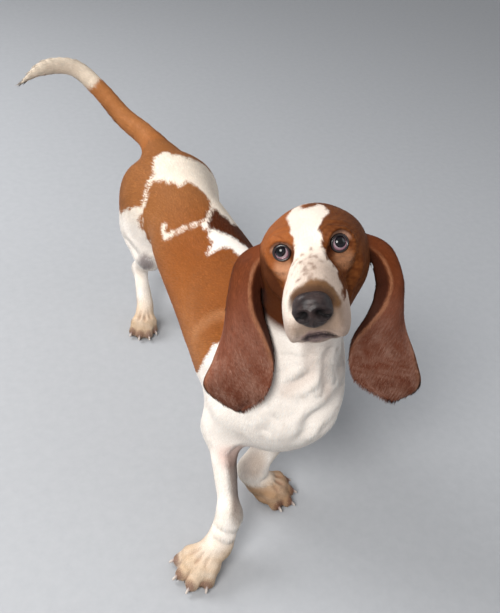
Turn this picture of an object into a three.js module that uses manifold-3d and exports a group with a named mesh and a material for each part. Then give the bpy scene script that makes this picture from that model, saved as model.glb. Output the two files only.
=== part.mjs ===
// A basset hound standing with its head raised, as a still, life-size model.
// Millimetres, +Z up. The hound faces -Y and its left side is +X; the floor is z = 0.
// The body is one soft form made of named muscles. Each named node is the part of that form
// inside its own region, and the regions keep a thin seam between them.
import * as THREE from 'three';
import { mergeVertices } from 'three/addons/utils/BufferGeometryUtils.js';
import Module from 'manifold-3d';

const wasm = await Module();
wasm.setup();

// Driving sizes
const SEAM = 0.3;
const ORIGIN = [22, -70, 0];
const HEAD_AT = [22, -232, 490];
const HEAD_TURN = { yaw: -29, pitch: -16, roll: -20.5 };
const EYE = { across: 34, back: 4, height: 1, radius: 12 };
const LID = { thickness: 3.4, openHalfWidth: 12, openHalfHeight: 10 };
const EAR_THICKNESS = 5.5;
const CLAW = { length: 24, radius: 4.2, droop: 34 };

// Coat and skin colours
const COLOURS = {
  tan: '#a8692f',
  red: '#7a3a1c',
  white: '#e9e2d8',
  black: '#2a2122',
  horn: '#b59a86',
  eye: '#3a3330',
};

// Small vector and turning helpers
const rad = THREE.MathUtils.degToRad;
const vec = (p) => new THREE.Vector3(...p);

function turned(x, y, z) {
  const turn = new THREE.Matrix4().makeRotationZ(rad(z));
  turn.multiply(new THREE.Matrix4().makeRotationY(rad(y)));
  return turn.multiply(new THREE.Matrix4().makeRotationX(rad(x)));
}

// The head has its own frame: origin midway between the eyes, -Y to the nose, +X to its left
const headFrame = new THREE.Matrix4().makeTranslation(...HEAD_AT);
headFrame.multiply(new THREE.Matrix4().makeRotationZ(rad(HEAD_TURN.yaw)));
headFrame.multiply(new THREE.Matrix4().makeRotationX(rad(HEAD_TURN.pitch)));
headFrame.multiply(new THREE.Matrix4().makeRotationY(rad(HEAD_TURN.roll)));
const fromHead = headFrame.clone().invert();
const onHead = (p) => vec(p).applyMatrix4(headFrame).toArray();

// A ball is a turned ellipsoid and a rod a tapered bar with round ends.
// Each tells how far a point is from its surface and how softly it blends with what came before.
function ball(at, radii, blend, turn = [0, 0, 0]) {
  const m = turned(...turn).transpose().elements;
  const [rx, ry, rz] = radii;
  const away = (x, y, z) => {
    const a = x - at[0];
    const b = y - at[1];
    const c = z - at[2];
    const u = m[0] * a + m[4] * b + m[8] * c;
    const v = m[1] * a + m[5] * b + m[9] * c;
    const w = m[2] * a + m[6] * b + m[10] * c;
    const near = Math.hypot(u / rx, v / ry, w / rz);
    const steep = Math.hypot(u / rx / rx, v / ry / ry, w / rz / rz);
    return near * (near - 1) / Math.max(steep, 1e-9);
  };
  return { away, blend };
}

function rod(from, to, radii, blend) {
  const span = to.map((v, i) => v - from[i]);
  const length2 = span.reduce((sum, v) => sum + v * v, 0);
  const away = (x, y, z) => {
    const a = x - from[0];
    const b = y - from[1];
    const c = z - from[2];
    const along = THREE.MathUtils.clamp((a * span[0] + b * span[1] + c * span[2]) / length2, 0, 1);
    const gap = Math.hypot(a - along * span[0], b - along * span[1], c - along * span[2]);
    return gap - radii[0] - (radii[1] - radii[0]) * along;
  };
  return { away, blend };
}

function joined(a, b, blend) {
  const near = Math.max(blend - Math.abs(a - b), 0) / blend;
  return Math.min(a, b) - near * near * blend / 4;
}

function form(muscles) {
  const list = Object.values(muscles).flat();
  return (x, y, z) => list.reduce((gap, m) => joined(gap, m.away(x, y, z), m.blend), 1e3);
}

const bothSides = (at, radii, blend, turn = [0, 0, 0]) => [
  ball(at, radii, blend, turn),
  ball([-at[0], at[1], at[2]], radii, blend, [turn[0], -turn[1], -turn[2]]),
];

// Muscles of the trunk and neck
const TRUNK = {
  ribCage: ball([8, -85, 238], [88, 180, 98], 1),
  forechest: ball([34, -232, 210], [80, 70, 76], 50),
  breastbone: rod([20, -225, 166], [0, 90, 180], [34, 22], 50),
  loin: ball([-2, 110, 248], [77, 150, 76], 60),
  back: rod([14, -130, 292], [-4, 250, 290], [50, 48], 40),
  croup: ball([-6, 268, 268], [80, 92, 76], 50),
  shoulderRight: ball([-34, -170, 240], [34, 68, 82], 36, [20, 0, 0]),
  shoulderLeft: ball([92, -175, 236], [38, 70, 88], 40, [20, 0, 0]),
};
const NECK = {
  throatAndNape: rod([22, -170, 262], onHead([0, 66, -24]), [82, 55], 50),
  nape: rod([14, -80, 300], onHead([2, 82, -32]), [44, 24], 60),
  throat: rod([44, -234, 230], onHead([2, 30, -62]), [58, 36], 50),
  dewlap: rod([40, -284, 236], onHead([0, 8, -84]), [22, 14], 34),
};

// Muscles of the legs, from the shoulder or hip down to the pastern
const LEGS = {
  foreRight: [
    rod([-40, -222, 205], [-56, -218, 163], [36, 27], 36),
    rod([-56, -218, 163], [-66, -316, 76], [25, 16], 24),
    rod([-66, -316, 76], [-86, -336, 34], [20, 23], 18),
  ],
  foreLeft: [
    rod([96, -200, 195], [84, -190, 150], [44, 40], 40),
    rod([84, -190, 150], [0, -238, 62], [34, 21], 28),
    rod([0, -238, 62], [12, -244, 34], [22, 23], 18),
  ],
  hindRight: [
    ball([-60, 284, 226], [42, 70, 80], 50, [-15, 0, 0]),
    rod([-56, 266, 190], [-54, 226, 154], [38, 27], 36),
    rod([-54, 232, 150], [-62, 276, 90], [25, 15], 22),
    rod([-62, 276, 90], [-64, 216, 40], [15, 18], 16),
  ],
  hindLeft: [
    ball([50, 288, 226], [42, 70, 80], 50, [-15, 0, 0]),
    rod([48, 280, 190], [50, 262, 156], [38, 27], 36),
    rod([50, 266, 152], [56, 330, 94], [25, 15], 22),
    rod([56, 330, 94], [58, 314, 40], [15, 18], 16),
  ],
};

// Each paw turns out from straight ahead, to the hound's right (-1) or left (+1).
// The cell is the mesh width of its skin.
const PAWS = {
  forepaw_right: { at: [-93, -339], turnOut: 64, side: -1, reach: 62, fan: 24, scale: 1, cell: [8.5, 8.5, 8] },
  forepaw_left: { at: [14, -244], turnOut: 60, side: 1, reach: 60, fan: 22, scale: 0.97, cell: [8.5, 8.5, 8] },
  hindpaw_right: { at: [-67, 206], turnOut: 14, side: -1, reach: 54, fan: 20, scale: 0.93, cell: [7.8, 8.6, 8.2] },
  hindpaw_left: { at: [59, 306], turnOut: 12, side: 1, reach: 54, fan: 20, scale: 0.93, cell: [8, 9, 9] },
};
const TOE_REACH = [0.8, 1, 1, 0.94];
const TOE = { knuckleHeight: 26, tipHeight: 10, root: 17, knuckle: 12.5, tip: 11.5 };

function toes(paw) {
  return TOE_REACH.map((share, i) => {
    const angle = rad(paw.turnOut + (i - 1.5) * paw.fan);
    const ahead = [paw.side * Math.sin(angle), -Math.cos(angle)];
    const s = paw.scale;
    const place = (far, height) => [paw.at[0] + ahead[0] * far, paw.at[1] + ahead[1] * far, height];
    const reach = paw.reach * share;
    return {
      ahead,
      root: place(6, 33 * s),
      knuckle: place(reach * 0.6, TOE.knuckleHeight * s),
      tip: place(reach - 9 * s, TOE.tipHeight * s),
    };
  });
}

function pawMuscles(paw) {
  const s = paw.scale;
  const ahead = [paw.side * Math.sin(rad(paw.turnOut)), -Math.cos(rad(paw.turnOut))];
  const pad = [paw.at[0] + ahead[0] * 18 * s, paw.at[1] + ahead[1] * 18 * s, 13 * s];
  const muscles = [ball(pad, [27 * s, 27 * s, 16.5 * s], 16)];
  for (const toe of toes(paw)) {
    muscles.push(rod(toe.root, toe.knuckle, [TOE.root * s, TOE.knuckle * s], 9));
    muscles.push(rod(toe.knuckle, toe.tip, [TOE.knuckle * s, TOE.tip * s], 8));
  }
  return muscles;
}

// Muscles of the head, in its own frame
const HEAD = {
  skull: ball([2, 46, -5], [52, 64, 39], 1),
  occiput: ball([2, 98, 0], [22, 22, 17], 30),
  brows: bothSides([28, 6, 13], [20, 24, 15], 22),
  cheeks: bothSides([44, 42, -28], [26, 48, 40], 35),
  muzzle: rod([0, 0, -14], [0, -86, -27], [27, 23.5], 25),
  upperLip: ball([0, -50, -41], [33, 58, 28], 25),
  flews: bothSides([25, -57, -60], [15, 46, 29], 20, [0, -12, 0]),
  lowerJaw: rod([0, 40, -60], [0, -78, -70], [32, 18], 25),
  throatLatch: ball([0, 60, -52], [46, 52, 38], 35),
};
const ORBITS = { hollows: bothSides([37, -17, -3], [16, 15, 13], 1) };
const ORBIT_BLEND = 10;
const NOSE = { at: [1, -104, -33], radii: [22.5, 16, 20.5] };
const NOSTRIL = { across: 10, at: [-117, -34], radii: [4.6, 8, 4] };

// Tail: places along its middle line and its radius there
const TAIL_LINE = [
  [-12, 330, 312], [-26, 372, 328], [-62, 434, 346], [-99, 490, 380],
  [-140, 518, 411], [-200, 496, 423], [-252, 454, 410],
];
const TAIL_RADII = [34, 24, 21, 19, 18, 16, 2.5];
const tailRoot = [0, 1].map((i) => (
  rod(TAIL_LINE[i], TAIL_LINE[i + 1], [TAIL_RADII[i], TAIL_RADII[i + 1]], 10)
));

const trunkForm = form(TRUNK);
const neckForm = form(NECK);
const legForms = Object.values(LEGS).map((leg) => form({ leg }));
const pawForms = Object.values(PAWS).map((paw) => form({ paw: pawMuscles(paw) }));
const orbitForm = form(ORBITS);
const flesh = form(HEAD);
const headForm = (x, y, z) => -joined(-flesh(x, y, z), orbitForm(x, y, z), ORBIT_BLEND);
const tailForm = form({ tailRoot });

// How far a point is from the hound's whole surface, less than zero inside
function body(x, y, z) {
  let gap = joined(trunkForm(x, y, z), neckForm(x, y, z), 50);
  for (const leg of legForms) gap = joined(gap, leg(x, y, z), 36);
  for (const paw of pawForms) gap = joined(gap, paw(x, y, z), 10);
  const p = new THREE.Vector3(x, y, z).applyMatrix4(fromHead);
  gap = joined(gap, headForm(p.x, p.y, p.z), 30);
  return joined(gap, tailForm(x, y, z), 24);
}

// Regions: a turned box in which one node of the body lies
function region(frame, low, high, cell) {
  return { frame, low, high, cell };
}

function boxSolid({ frame, low, high }, grow = 0) {
  const size = high.map((v, i) => v - low[i] + 2 * grow);
  const box = new THREE.BoxGeometry(...size);
  box.translate(...high.map((v, i) => (v + low[i]) / 2));
  box.applyMatrix4(frame);
  return solid(box);
}

// Frame whose +Z runs from one point toward another
function frameAlong(from, to) {
  const up = vec(to).sub(vec(from)).normalize();
  const across = new THREE.Vector3(1, 0, 0);
  across.addScaledVector(up, -across.dot(up)).normalize();
  const ahead = up.clone().cross(across);
  return new THREE.Matrix4().makeBasis(across, ahead, up).setPosition(...from);
}

// Closed mesh to solid and back
function solid(geometry) {
  const bare = new THREE.BufferGeometry();
  bare.setAttribute('position', geometry.getAttribute('position').clone());
  if (geometry.index) bare.setIndex(geometry.index.clone());
  const merged = mergeVertices(bare, 1e-4);
  return new wasm.Manifold(new wasm.Mesh({
    numProp: 3,
    vertProperties: new Float32Array(merged.getAttribute('position').array),
    triVerts: new Uint32Array(merged.index.array),
  }));
}

function geometryOf(made) {
  const mesh = made.getMesh();
  const geometry = new THREE.BufferGeometry();
  geometry.setAttribute('position', new THREE.BufferAttribute(mesh.vertProperties, 3));
  geometry.setIndex(new THREE.BufferAttribute(mesh.triVerts, 1));
  geometry.computeVertexNormals();
  return geometry;
}

const largest = (made) => made.decompose().reduce((a, b) => (b.volume() > a.volume() ? b : a));

// Skin of a form inside a region: one vertex in each grid cell that the surface crosses,
// joined by a quad across each grid edge that it crosses, then moved onto the surface
function skin(gapAt, { frame, low, high, cell }, lift = 0) {
  const margin = cell.map((c) => c * 1.5);
  const start = low.map((v, i) => v - 2 * margin[i]);
  const count = high.map((v, i) => Math.ceil((v - low[i] + 4 * margin[i]) / cell[i]) + 1);
  const [nx, ny, nz] = count;
  const at = (i, j, k) => i + nx * (j + ny * k);
  const p = new THREE.Vector3();
  const gap = (x, y, z) => {
    const q = [x, y, z];
    const wall = Math.max(...q.map((v, i) => Math.max(low[i] - margin[i] - v, v - high[i] - margin[i])));
    p.set(x, y, z).applyMatrix4(frame);
    return Math.max(gapAt(p.x, p.y, p.z) - lift, wall);
  };
  const place = (i, j, k) => [start[0] + i * cell[0], start[1] + j * cell[1], start[2] + k * cell[2]];
  const gaps = new Float64Array(nx * ny * nz);
  for (let k = 0; k < nz; k += 1) {
    for (let j = 0; j < ny; j += 1) {
      for (let i = 0; i < nx; i += 1) gaps[at(i, j, k)] = gap(...place(i, j, k)) || 1e-6;
    }
  }
  const corners = [0, 1, 2, 3, 4, 5, 6, 7].map((n) => [n & 1, (n >> 1) & 1, n >> 2]);
  const edges = [[0, 1], [2, 3], [4, 5], [6, 7], [0, 2], [1, 3], [4, 6], [5, 7], [0, 4], [1, 5], [2, 6], [3, 7]];
  const names = new Map();
  const points = [];
  const settle = (q) => {
    for (let step = 0; step < 3; step += 1) {
      const here = gap(...q);
      const slope = [0, 1, 2].map((n) => {
        const near = [...q];
        near[n] += 0.5;
        return (gap(...near) - here) / 0.5;
      });
      const steep = slope.reduce((sum, v) => sum + v * v, 0) || 1;
      const step1 = THREE.MathUtils.clamp(here / steep, -cell[0] / 3, cell[0] / 3);
      q = q.map((v, n) => v - step1 * slope[n]);
    }
    return q;
  };
  const vertex = (i, j, k) => {
    const key = at(i, j, k);
    if (names.has(key)) return names.get(key);
    const sum = [0, 0, 0];
    let crossings = 0;
    for (const [a, b] of edges) {
      const ca = corners[a];
      const cb = corners[b];
      const ga = gaps[at(i + ca[0], j + ca[1], k + ca[2])];
      const gb = gaps[at(i + cb[0], j + cb[1], k + cb[2])];
      if ((ga < 0) !== (gb < 0)) {
        const share = ga / (ga - gb);
        for (let n = 0; n < 3; n += 1) sum[n] += ca[n] + share * (cb[n] - ca[n]);
        crossings += 1;
      }
    }
    const base = place(i, j, k);
    points.push(settle(sum.map((v, n) => base[n] + v / crossings * cell[n])));
    names.set(key, points.length - 1);
    return points.length - 1;
  };
  const faces = [];
  const quad = (a, b, c, d, flip) => {
    const far = (m, n) => Math.hypot(...points[m].map((v, i) => v - points[n][i]));
    const ring = flip ? [a, d, c, b] : [a, b, c, d];
    const split = far(ring[0], ring[2]) <= far(ring[1], ring[3]) ? [0, 1, 2, 0, 2, 3] : [1, 2, 3, 1, 3, 0];
    faces.push(...split.map((n) => ring[n]));
  };
  for (let k = 1; k < nz - 1; k += 1) {
    for (let j = 1; j < ny - 1; j += 1) {
      for (let i = 1; i < nx - 1; i += 1) {
        const here = gaps[at(i, j, k)] < 0;
        if (here !== gaps[at(i + 1, j, k)] < 0) {
          quad(vertex(i, j - 1, k - 1), vertex(i, j, k - 1), vertex(i, j, k), vertex(i, j - 1, k), !here);
        }
        if (here !== gaps[at(i, j + 1, k)] < 0) {
          quad(vertex(i - 1, j, k - 1), vertex(i - 1, j, k), vertex(i, j, k), vertex(i, j, k - 1), !here);
        }
        if (here !== gaps[at(i, j, k + 1)] < 0) {
          quad(vertex(i - 1, j - 1, k), vertex(i, j - 1, k), vertex(i, j, k), vertex(i - 1, j, k), !here);
        }
      }
    }
  }
  const geometry = new THREE.BufferGeometry();
  geometry.setAttribute('position', new THREE.Float32BufferAttribute(points.flat(), 3));
  geometry.setIndex(faces);
  geometry.applyMatrix4(frame);
  return solid(geometry);
}

// The regions of the body. The head ends at a slanting plane behind the jaw, and the neck
// at a plane from the withers to the top of the forechest.
const headPlane = turned(36.5, 0, 0).setPosition(0, 125, -10).premultiply(headFrame);
const neckPlane = turned(22, 0, 0).setPosition(10, -90, 335);
const REGIONS = {
  head: region(headPlane, [-90, -260, 0], [90, 40, 190], [10, 10, 10]),
  neck: region(neckPlane, [-110, -260, 0], [150, 110, 230], [18, 18, 18]),
  foreleg_right: region(
    frameAlong([-62, -316, 60], [-54, -214, 166]), [-36, -46, -60], [36, 46, 140], [11, 11, 15],
  ),
  foreleg_left: region(
    frameAlong([0, -238, 56], [82, -192, 148]), [-44, -46, -60], [44, 46, 126], [11, 11, 15],
  ),
  hindleg_right: region(new THREE.Matrix4(), [-130, 190, 40], [-16, 385, 250], [12, 16, 13.5]),
  hindleg_left: region(new THREE.Matrix4(), [6, 190, 40], [120, 385, 250], [12, 16, 13.5]),
  torso: region(new THREE.Matrix4(), [-125, -330, 100], [160, 390, 370], [21.5, 31, 22.5]),
};
const PAW_TOP = 50;
for (const [name, paw] of Object.entries(PAWS)) {
  const [x, y] = paw.at;
  REGIONS[name] = region(new THREE.Matrix4(), [x - 82, y - 82, 0], [x + 82, y + 60, PAW_TOP], paw.cell);
}

// Tail: rings along its line, in three lengths
const TAIL_SIDES = 10;
const tailCurve = new THREE.CatmullRomCurve3(TAIL_LINE.map(vec));
const TAIL_CUTS = [0.2, 0.46, 0.74, 1];
const TAIL_NAMES = ['tail_base', 'tail_middle', 'tail_tip'];
const STEPS_A_LENGTH = 6;

function tailRadius(t) {
  const step = Math.min(t * (TAIL_RADII.length - 1), TAIL_RADII.length - 1.001);
  const i = Math.floor(step);
  return THREE.MathUtils.lerp(TAIL_RADII[i], TAIL_RADII[i + 1], step - i);
}

// Closed tube through rings: each ring is a list of points, and each end is closed by a fan
function tube(rings) {
  const sides = rings[0].length;
  const points = rings.flat();
  const faces = [];
  for (let r = 0; r + 1 < rings.length; r += 1) {
    for (let s = 0; s < sides; s += 1) {
      const a = r * sides + s;
      const b = r * sides + (s + 1) % sides;
      faces.push(a, b, b + sides, a, b + sides, a + sides);
    }
  }
  for (const [first, flip] of [[0, false], [(rings.length - 1) * sides, true]]) {
    const middle = new THREE.Vector3();
    for (let s = 0; s < sides; s += 1) middle.addScaledVector(points[first + s], 1 / sides);
    points.push(middle);
    for (let s = 0; s < sides; s += 1) {
      const a = first + s;
      const b = first + (s + 1) % sides;
      faces.push(...(flip ? [points.length - 1, a, b] : [points.length - 1, b, a]));
    }
  }
  const geometry = new THREE.BufferGeometry().setFromPoints(points);
  geometry.setIndex(faces);
  return geometry;
}

// A ring of points about a line, square to it
function ring(middle, along, radius, sides) {
  const across = new THREE.Vector3(0, 0, 1).cross(along).normalize();
  const up = along.clone().cross(across).normalize();
  return Array.from({ length: sides }, (_, s) => {
    const angle = 2 * Math.PI * s / sides;
    return middle.clone()
      .addScaledVector(across, radius * Math.cos(angle))
      .addScaledVector(up, radius * Math.sin(angle));
  });
}

function tailLength(index) {
  const [from, to] = [TAIL_CUTS[index], TAIL_CUTS[index + 1]];
  const total = tailCurve.getLength();
  const rings = [];
  for (let step = 0; step <= STEPS_A_LENGTH; step += 1) {
    const t = Math.min(from + SEAM / total + (to - from - SEAM / total) * step / STEPS_A_LENGTH, 1);
    const u = t * 0.9999;
    rings.push(ring(tailCurve.getPoint(u), tailCurve.getTangent(u), tailRadius(u), TAIL_SIDES));
  }
  return tube(rings);
}
const tailStart = tailCurve.getPoint(TAIL_CUTS[0]);
const afterStart = tailCurve.getPoint(TAIL_CUTS[0] + 0.01);
REGIONS.tail = region(frameAlong(tailStart.toArray(), afterStart.toArray()), [-60, -60, 0], [60, 60, 200]);

// Ears: a sheet between a back edge and a front rim, each a curve down the ear, with the
// front edge curled inward below the rim. Each row is a place on both edges.
const EARS = {
  ear_right: {
    out: [-1, -0.35, 0.1],
    back: [
      onHead([-44, 94, -8]), [-34, -153, 425], [-55, -181, 384], [-67, -205, 348],
      [-84, -223, 313], [-100, -239, 284], [-77, -252, 258], [-57, -262, 246],
    ],
    front: [
      onHead([-48, 34, -4]), [-24, -192, 444], [-35, -206, 420], [-35, -227, 394],
      [-25, -247, 370], [-17, -268, 335], [-28, -283, 298], [-50, -266, 248],
    ],
    bulge: [4, 8, 10, 10, 8, 5, 3, 0],
    curl: [10, 20, 24, 24, 18, 8, 2, 0],
  },
  ear_left: {
    out: [1, -0.2, 0.1],
    back: [
      onHead([44, 94, -10]), [146, -216, 466], [162, -240, 430], [172, -252, 393],
      [182, -266, 356], [200, -288, 312], [211, -302, 268], [176, -303, 249],
    ],
    front: [
      onHead([48, 36, -6]), [119, -238, 472], [134, -256, 444], [134, -262, 414],
      [122, -262, 383], [104, -262, 345], [104, -281, 298], [164, -301, 251],
    ],
    bulge: [4, 8, 10, 10, 9, 6, 3, 0],
    curl: [10, 20, 24, 24, 16, 8, 2, 0],
  },
};
const EAR_ROWS = 14;
const EAR_COLUMNS = 8;
const CURL_STARTS = 0.7;
const CURL_RADIUS = 9;

function listCurve(values, t) {
  const step = Math.min(t * (values.length - 1), values.length - 1.001);
  const i = Math.floor(step);
  return THREE.MathUtils.lerp(values[i], values[i + 1], step - i);
}

// Middle layer of an ear at a share down it (t) and across it (w), and the way it faces there
function earPoint(ear, t, w) {
  const back = ear.backLine.getPoint(t);
  const front = ear.frontLine.getPoint(t);
  const across = front.clone().sub(back);
  const width = across.length();
  across.normalize();
  const down = ear.frontLine.getPoint(Math.min(t + 0.02, 1)).sub(ear.frontLine.getPoint(Math.max(t - 0.02, 0)));
  down.add(ear.backLine.getPoint(Math.min(t + 0.02, 1))).sub(ear.backLine.getPoint(Math.max(t - 0.02, 0)));
  down.addScaledVector(across, -down.dot(across)).normalize();
  const out = across.clone().cross(down).normalize();
  if (out.dot(vec(ear.out)) < 0) out.negate();
  const fullAngle = listCurve(ear.curl, t) / CURL_RADIUS;
  const reach = CURL_RADIUS * Math.sin(Math.min(fullAngle, Math.PI / 2));
  const place = back.clone();
  const flat = Math.min(w / CURL_STARTS, 1);
  place.addScaledVector(across, (width - reach) * flat);
  place.addScaledVector(out, listCurve(ear.bulge, t) * Math.sin(Math.PI * flat));
  const angle = Math.max(w - CURL_STARTS, 0) / (1 - CURL_STARTS) * fullAngle;
  place.addScaledVector(across, CURL_RADIUS * Math.sin(angle));
  place.addScaledVector(out, -CURL_RADIUS * (1 - Math.cos(angle)));
  const facing = out.multiplyScalar(Math.cos(angle)).addScaledVector(across, Math.sin(angle));
  return { place, facing };
}

function earSheet(ear) {
  ear.backLine = new THREE.CatmullRomCurve3(ear.back.map(vec));
  ear.frontLine = new THREE.CatmullRomCurve3(ear.front.map(vec));
  const points = [];
  const layer = (side) => {
    for (let r = 0; r <= EAR_ROWS; r += 1) {
      for (let c = 0; c <= EAR_COLUMNS; c += 1) {
        const [t, w] = [r / EAR_ROWS, c / EAR_COLUMNS];
        const { place, facing } = earPoint(ear, t, w);
        const thin = 1 - 0.35 * t;
        points.push(place.addScaledVector(facing, side * EAR_THICKNESS * thin / 2));
      }
    }
  };
  layer(1);
  layer(-1);
  const half = points.length / 2;
  const at = (r, c) => r * (EAR_COLUMNS + 1) + c;
  const faces = [];
  const four = (a, b, c, d) => faces.push(a, b, c, a, c, d);
  for (let r = 0; r < EAR_ROWS; r += 1) {
    for (let c = 0; c < EAR_COLUMNS; c += 1) {
      four(at(r, c), at(r, c + 1), at(r + 1, c + 1), at(r + 1, c));
      four(half + at(r, c), half + at(r + 1, c), half + at(r + 1, c + 1), half + at(r, c + 1));
    }
    four(at(r, 0), at(r + 1, 0), half + at(r + 1, 0), half + at(r, 0));
    const end = EAR_COLUMNS;
    four(at(r + 1, end), at(r, end), half + at(r, end), half + at(r + 1, end));
  }
  for (let c = 0; c < EAR_COLUMNS; c += 1) {
    four(at(0, c + 1), at(0, c), half + at(0, c), half + at(0, c + 1));
    four(at(EAR_ROWS, c), at(EAR_ROWS, c + 1), half + at(EAR_ROWS, c + 1), half + at(EAR_ROWS, c));
  }
  const geometry = new THREE.BufferGeometry().setFromPoints(points);
  geometry.setIndex(faces);
  return outward(geometry);
}

// Turn a closed mesh the right way out if its faces point inward
function outward(geometry) {
  const position = geometry.getAttribute('position');
  const index = geometry.index.array;
  const [a, b, c] = [new THREE.Vector3(), new THREE.Vector3(), new THREE.Vector3()];
  let volume = 0;
  for (let f = 0; f < index.length; f += 3) {
    a.fromBufferAttribute(position, index[f]);
    b.fromBufferAttribute(position, index[f + 1]);
    c.fromBufferAttribute(position, index[f + 2]);
    volume += a.dot(b.cross(c));
  }
  if (volume < 0) {
    for (let f = 0; f < index.length; f += 3) [index[f], index[f + 1]] = [index[f + 1], index[f]];
  }
  return geometry;
}

// An egg shape in the head's frame, looking along -Y
function egg(at, radii, across = 14, down = 10, turn = [0, 0, 0]) {
  const shape = new THREE.SphereGeometry(1, across, down);
  shape.rotateX(Math.PI / 2);
  shape.scale(...radii);
  shape.applyMatrix4(turned(...turn));
  shape.translate(...at);
  shape.applyMatrix4(headFrame);
  return shape;
}

// Mouth: a thin arch, cut in from the front, between the upper lips and the lower jaw
function mouthLine() {
  const half = 27;
  const arch = (x) => -64 - 13 * (x / half) ** 2;
  const shape = new THREE.Shape();
  const steps = 6;
  for (let s = 0; s <= steps; s += 1) {
    const x = half * (2 * s / steps - 1);
    if (s === 0) shape.moveTo(x, arch(x));
    else shape.lineTo(x, arch(x));
  }
  for (let s = steps; s >= 0; s -= 1) {
    const x = half * (2 * s / steps - 1);
    shape.lineTo(x, arch(x) - 2.2);
  }
  const slot = new THREE.ExtrudeGeometry(shape, { depth: 60, bevelEnabled: false });
  slot.rotateX(Math.PI / 2);
  slot.translate(0, -66, 0);
  slot.applyMatrix4(headFrame);
  return slot;
}

// Solids of the body's nodes
const boxes = Object.fromEntries(Object.entries(REGIONS).map(([name, r]) => [name, boxSolid(r)]));
const grown = Object.fromEntries(Object.entries(REGIONS).map(([name, r]) => [name, boxSolid(r, SEAM)]));
const floor = boxSolid(region(new THREE.Matrix4(), [-600, -600, -200], [600, 700, 0]));
const without = (made, names) => names.reduce((rest, name) => rest.subtract(grown[name]), made);
const legNames = Object.keys(REGIONS).filter((name) => name.includes('leg'));

const solids = {};
solids.torso = without(skin(body, REGIONS.torso).intersect(boxes.torso), ['neck', 'head', 'tail', ...legNames]);
solids.neck = without(skin(body, REGIONS.neck).intersect(boxes.neck), ['head']);
for (const name of legNames) {
  const paw = name.replace('leg', 'paw');
  solids[name] = without(skin(body, REGIONS[name]).intersect(boxes[name]), [paw]);
}
for (const name of Object.keys(PAWS)) {
  solids[name] = skin(body, REGIONS[name]).intersect(boxes[name]);
}
const headSkin = skin(body, REGIONS.head);
const headNear = skin(body, REGIONS.head, SEAM + 0.1);
solids.head = headSkin.intersect(boxes.head);

// Eyes sit in sockets behind lids that leave an oval opening
for (const side of [-1, 1]) {
  const name = side > 0 ? 'left' : 'right';
  const at = [side * EYE.across, EYE.back, EYE.height];
  const look = [0, 0, side * 16];
  const r = EYE.radius;
  const lids = solid(egg(at, [r + LID.thickness, r + LID.thickness, r + LID.thickness], 12, 8, look));
  const socket = solid(egg(at, [r + SEAM, r + SEAM, r + SEAM], 14, 9, look));
  const front = [at[0] + side * 4, at[1] - 15, at[2]];
  const opening = solid(egg(front, [LID.openHalfWidth, 14, LID.openHalfHeight], 12, 6, look));
  solids.head = solids.head.add(lids).subtract(socket).subtract(opening);
  solids[`eye_${name}`] = solid(egg(at, [r, r, r], 14, 9, look));
}
solids.head = solids.head.subtract(solid(mouthLine()));

// Nose pad with its nostrils
let nose = solid(egg(NOSE.at, NOSE.radii, 14, 9));
for (const side of [-1, 1]) {
  const at = [side * NOSTRIL.across, ...NOSTRIL.at];
  nose = nose.subtract(solid(egg(at, NOSTRIL.radii, 8, 6, [0, side * 25, side * 30])));
}
solids.nose = nose;
const noseSeat = NOSE.radii.map((r) => r + 1.3 * SEAM);
solids.head = solids.head.subtract(solid(egg(NOSE.at, noseSeat, 14, 9)));

for (const [name, ear] of Object.entries(EARS)) {
  solids[name] = solid(earSheet(ear)).subtract(headNear);
}
TAIL_NAMES.forEach((name, index) => { solids[name] = solid(outward(tailLength(index))); });

// Claws: curved cones from each toe
function claw(toe, s) {
  const rings = [];
  const steps = 3;
  const middle = vec(toe.tip);
  for (let step = 0; step <= steps; step += 1) {
    const t = step / steps;
    const angle = rad(-6 + CLAW.droop * t * 1.4);
    const along = new THREE.Vector3(
      toe.ahead[0] * Math.cos(angle), toe.ahead[1] * Math.cos(angle), -Math.sin(angle),
    );
    rings.push(ring(middle.clone(), along, CLAW.radius * s * (1 - 0.86 * t ** 1.5), 5));
    middle.addScaledVector(along, CLAW.length * s / steps);
  }
  return outward(tube(rings));
}
for (const [name, paw] of Object.entries(PAWS)) {
  const near = skin(body, REGIONS[name], SEAM + 0.1);
  toes(paw).forEach((toe, i) => {
    const made = solid(claw(toe, paw.scale)).subtract(near).subtract(floor);
    solids[`claw_${name}_${i + 1}`] = made;
  });
}

// Materials of the named nodes
const finish = (colour, roughness) => new THREE.MeshStandardMaterial({ color: colour, roughness, metalness: 0 });
function materialOf(name) {
  if (name.startsWith('claw')) return finish(COLOURS.horn, 0.45);
  if (name.startsWith('eye')) return finish(COLOURS.eye, 0.1);
  if (name.startsWith('ear')) return finish(COLOURS.red, 0.85);
  if (name === 'nose') return finish(COLOURS.black, 0.5);
  if (name === 'torso' || name.startsWith('tail') || name === 'head') return finish(COLOURS.tan, 0.85);
  return finish(COLOURS.white, 0.85);
}

const group = new THREE.Group();
group.position.set(...ORIGIN);
for (const [name, made] of Object.entries(solids)) {
  const mesh = new THREE.Mesh(geometryOf(largest(made)), materialOf(name));
  mesh.name = name;
  group.add(mesh);
}

export default group;
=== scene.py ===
# %% [markdown]
# # A basset hound, modelled in Blender
# The hound stands with its head raised and looks up at the viewer. Its solids were made first,
# and this lesson dresses them: one skin with folds and lids, eyes, a nose, claws, and a coat of
# short tufts. The first cell loads the solids, which give the size and place of everything.

# %% Load the frame
import math
import bmesh
import bpy
import numpy as np
from mathutils import Matrix, Vector
from mathutils.bvhtree import BVHTree


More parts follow.
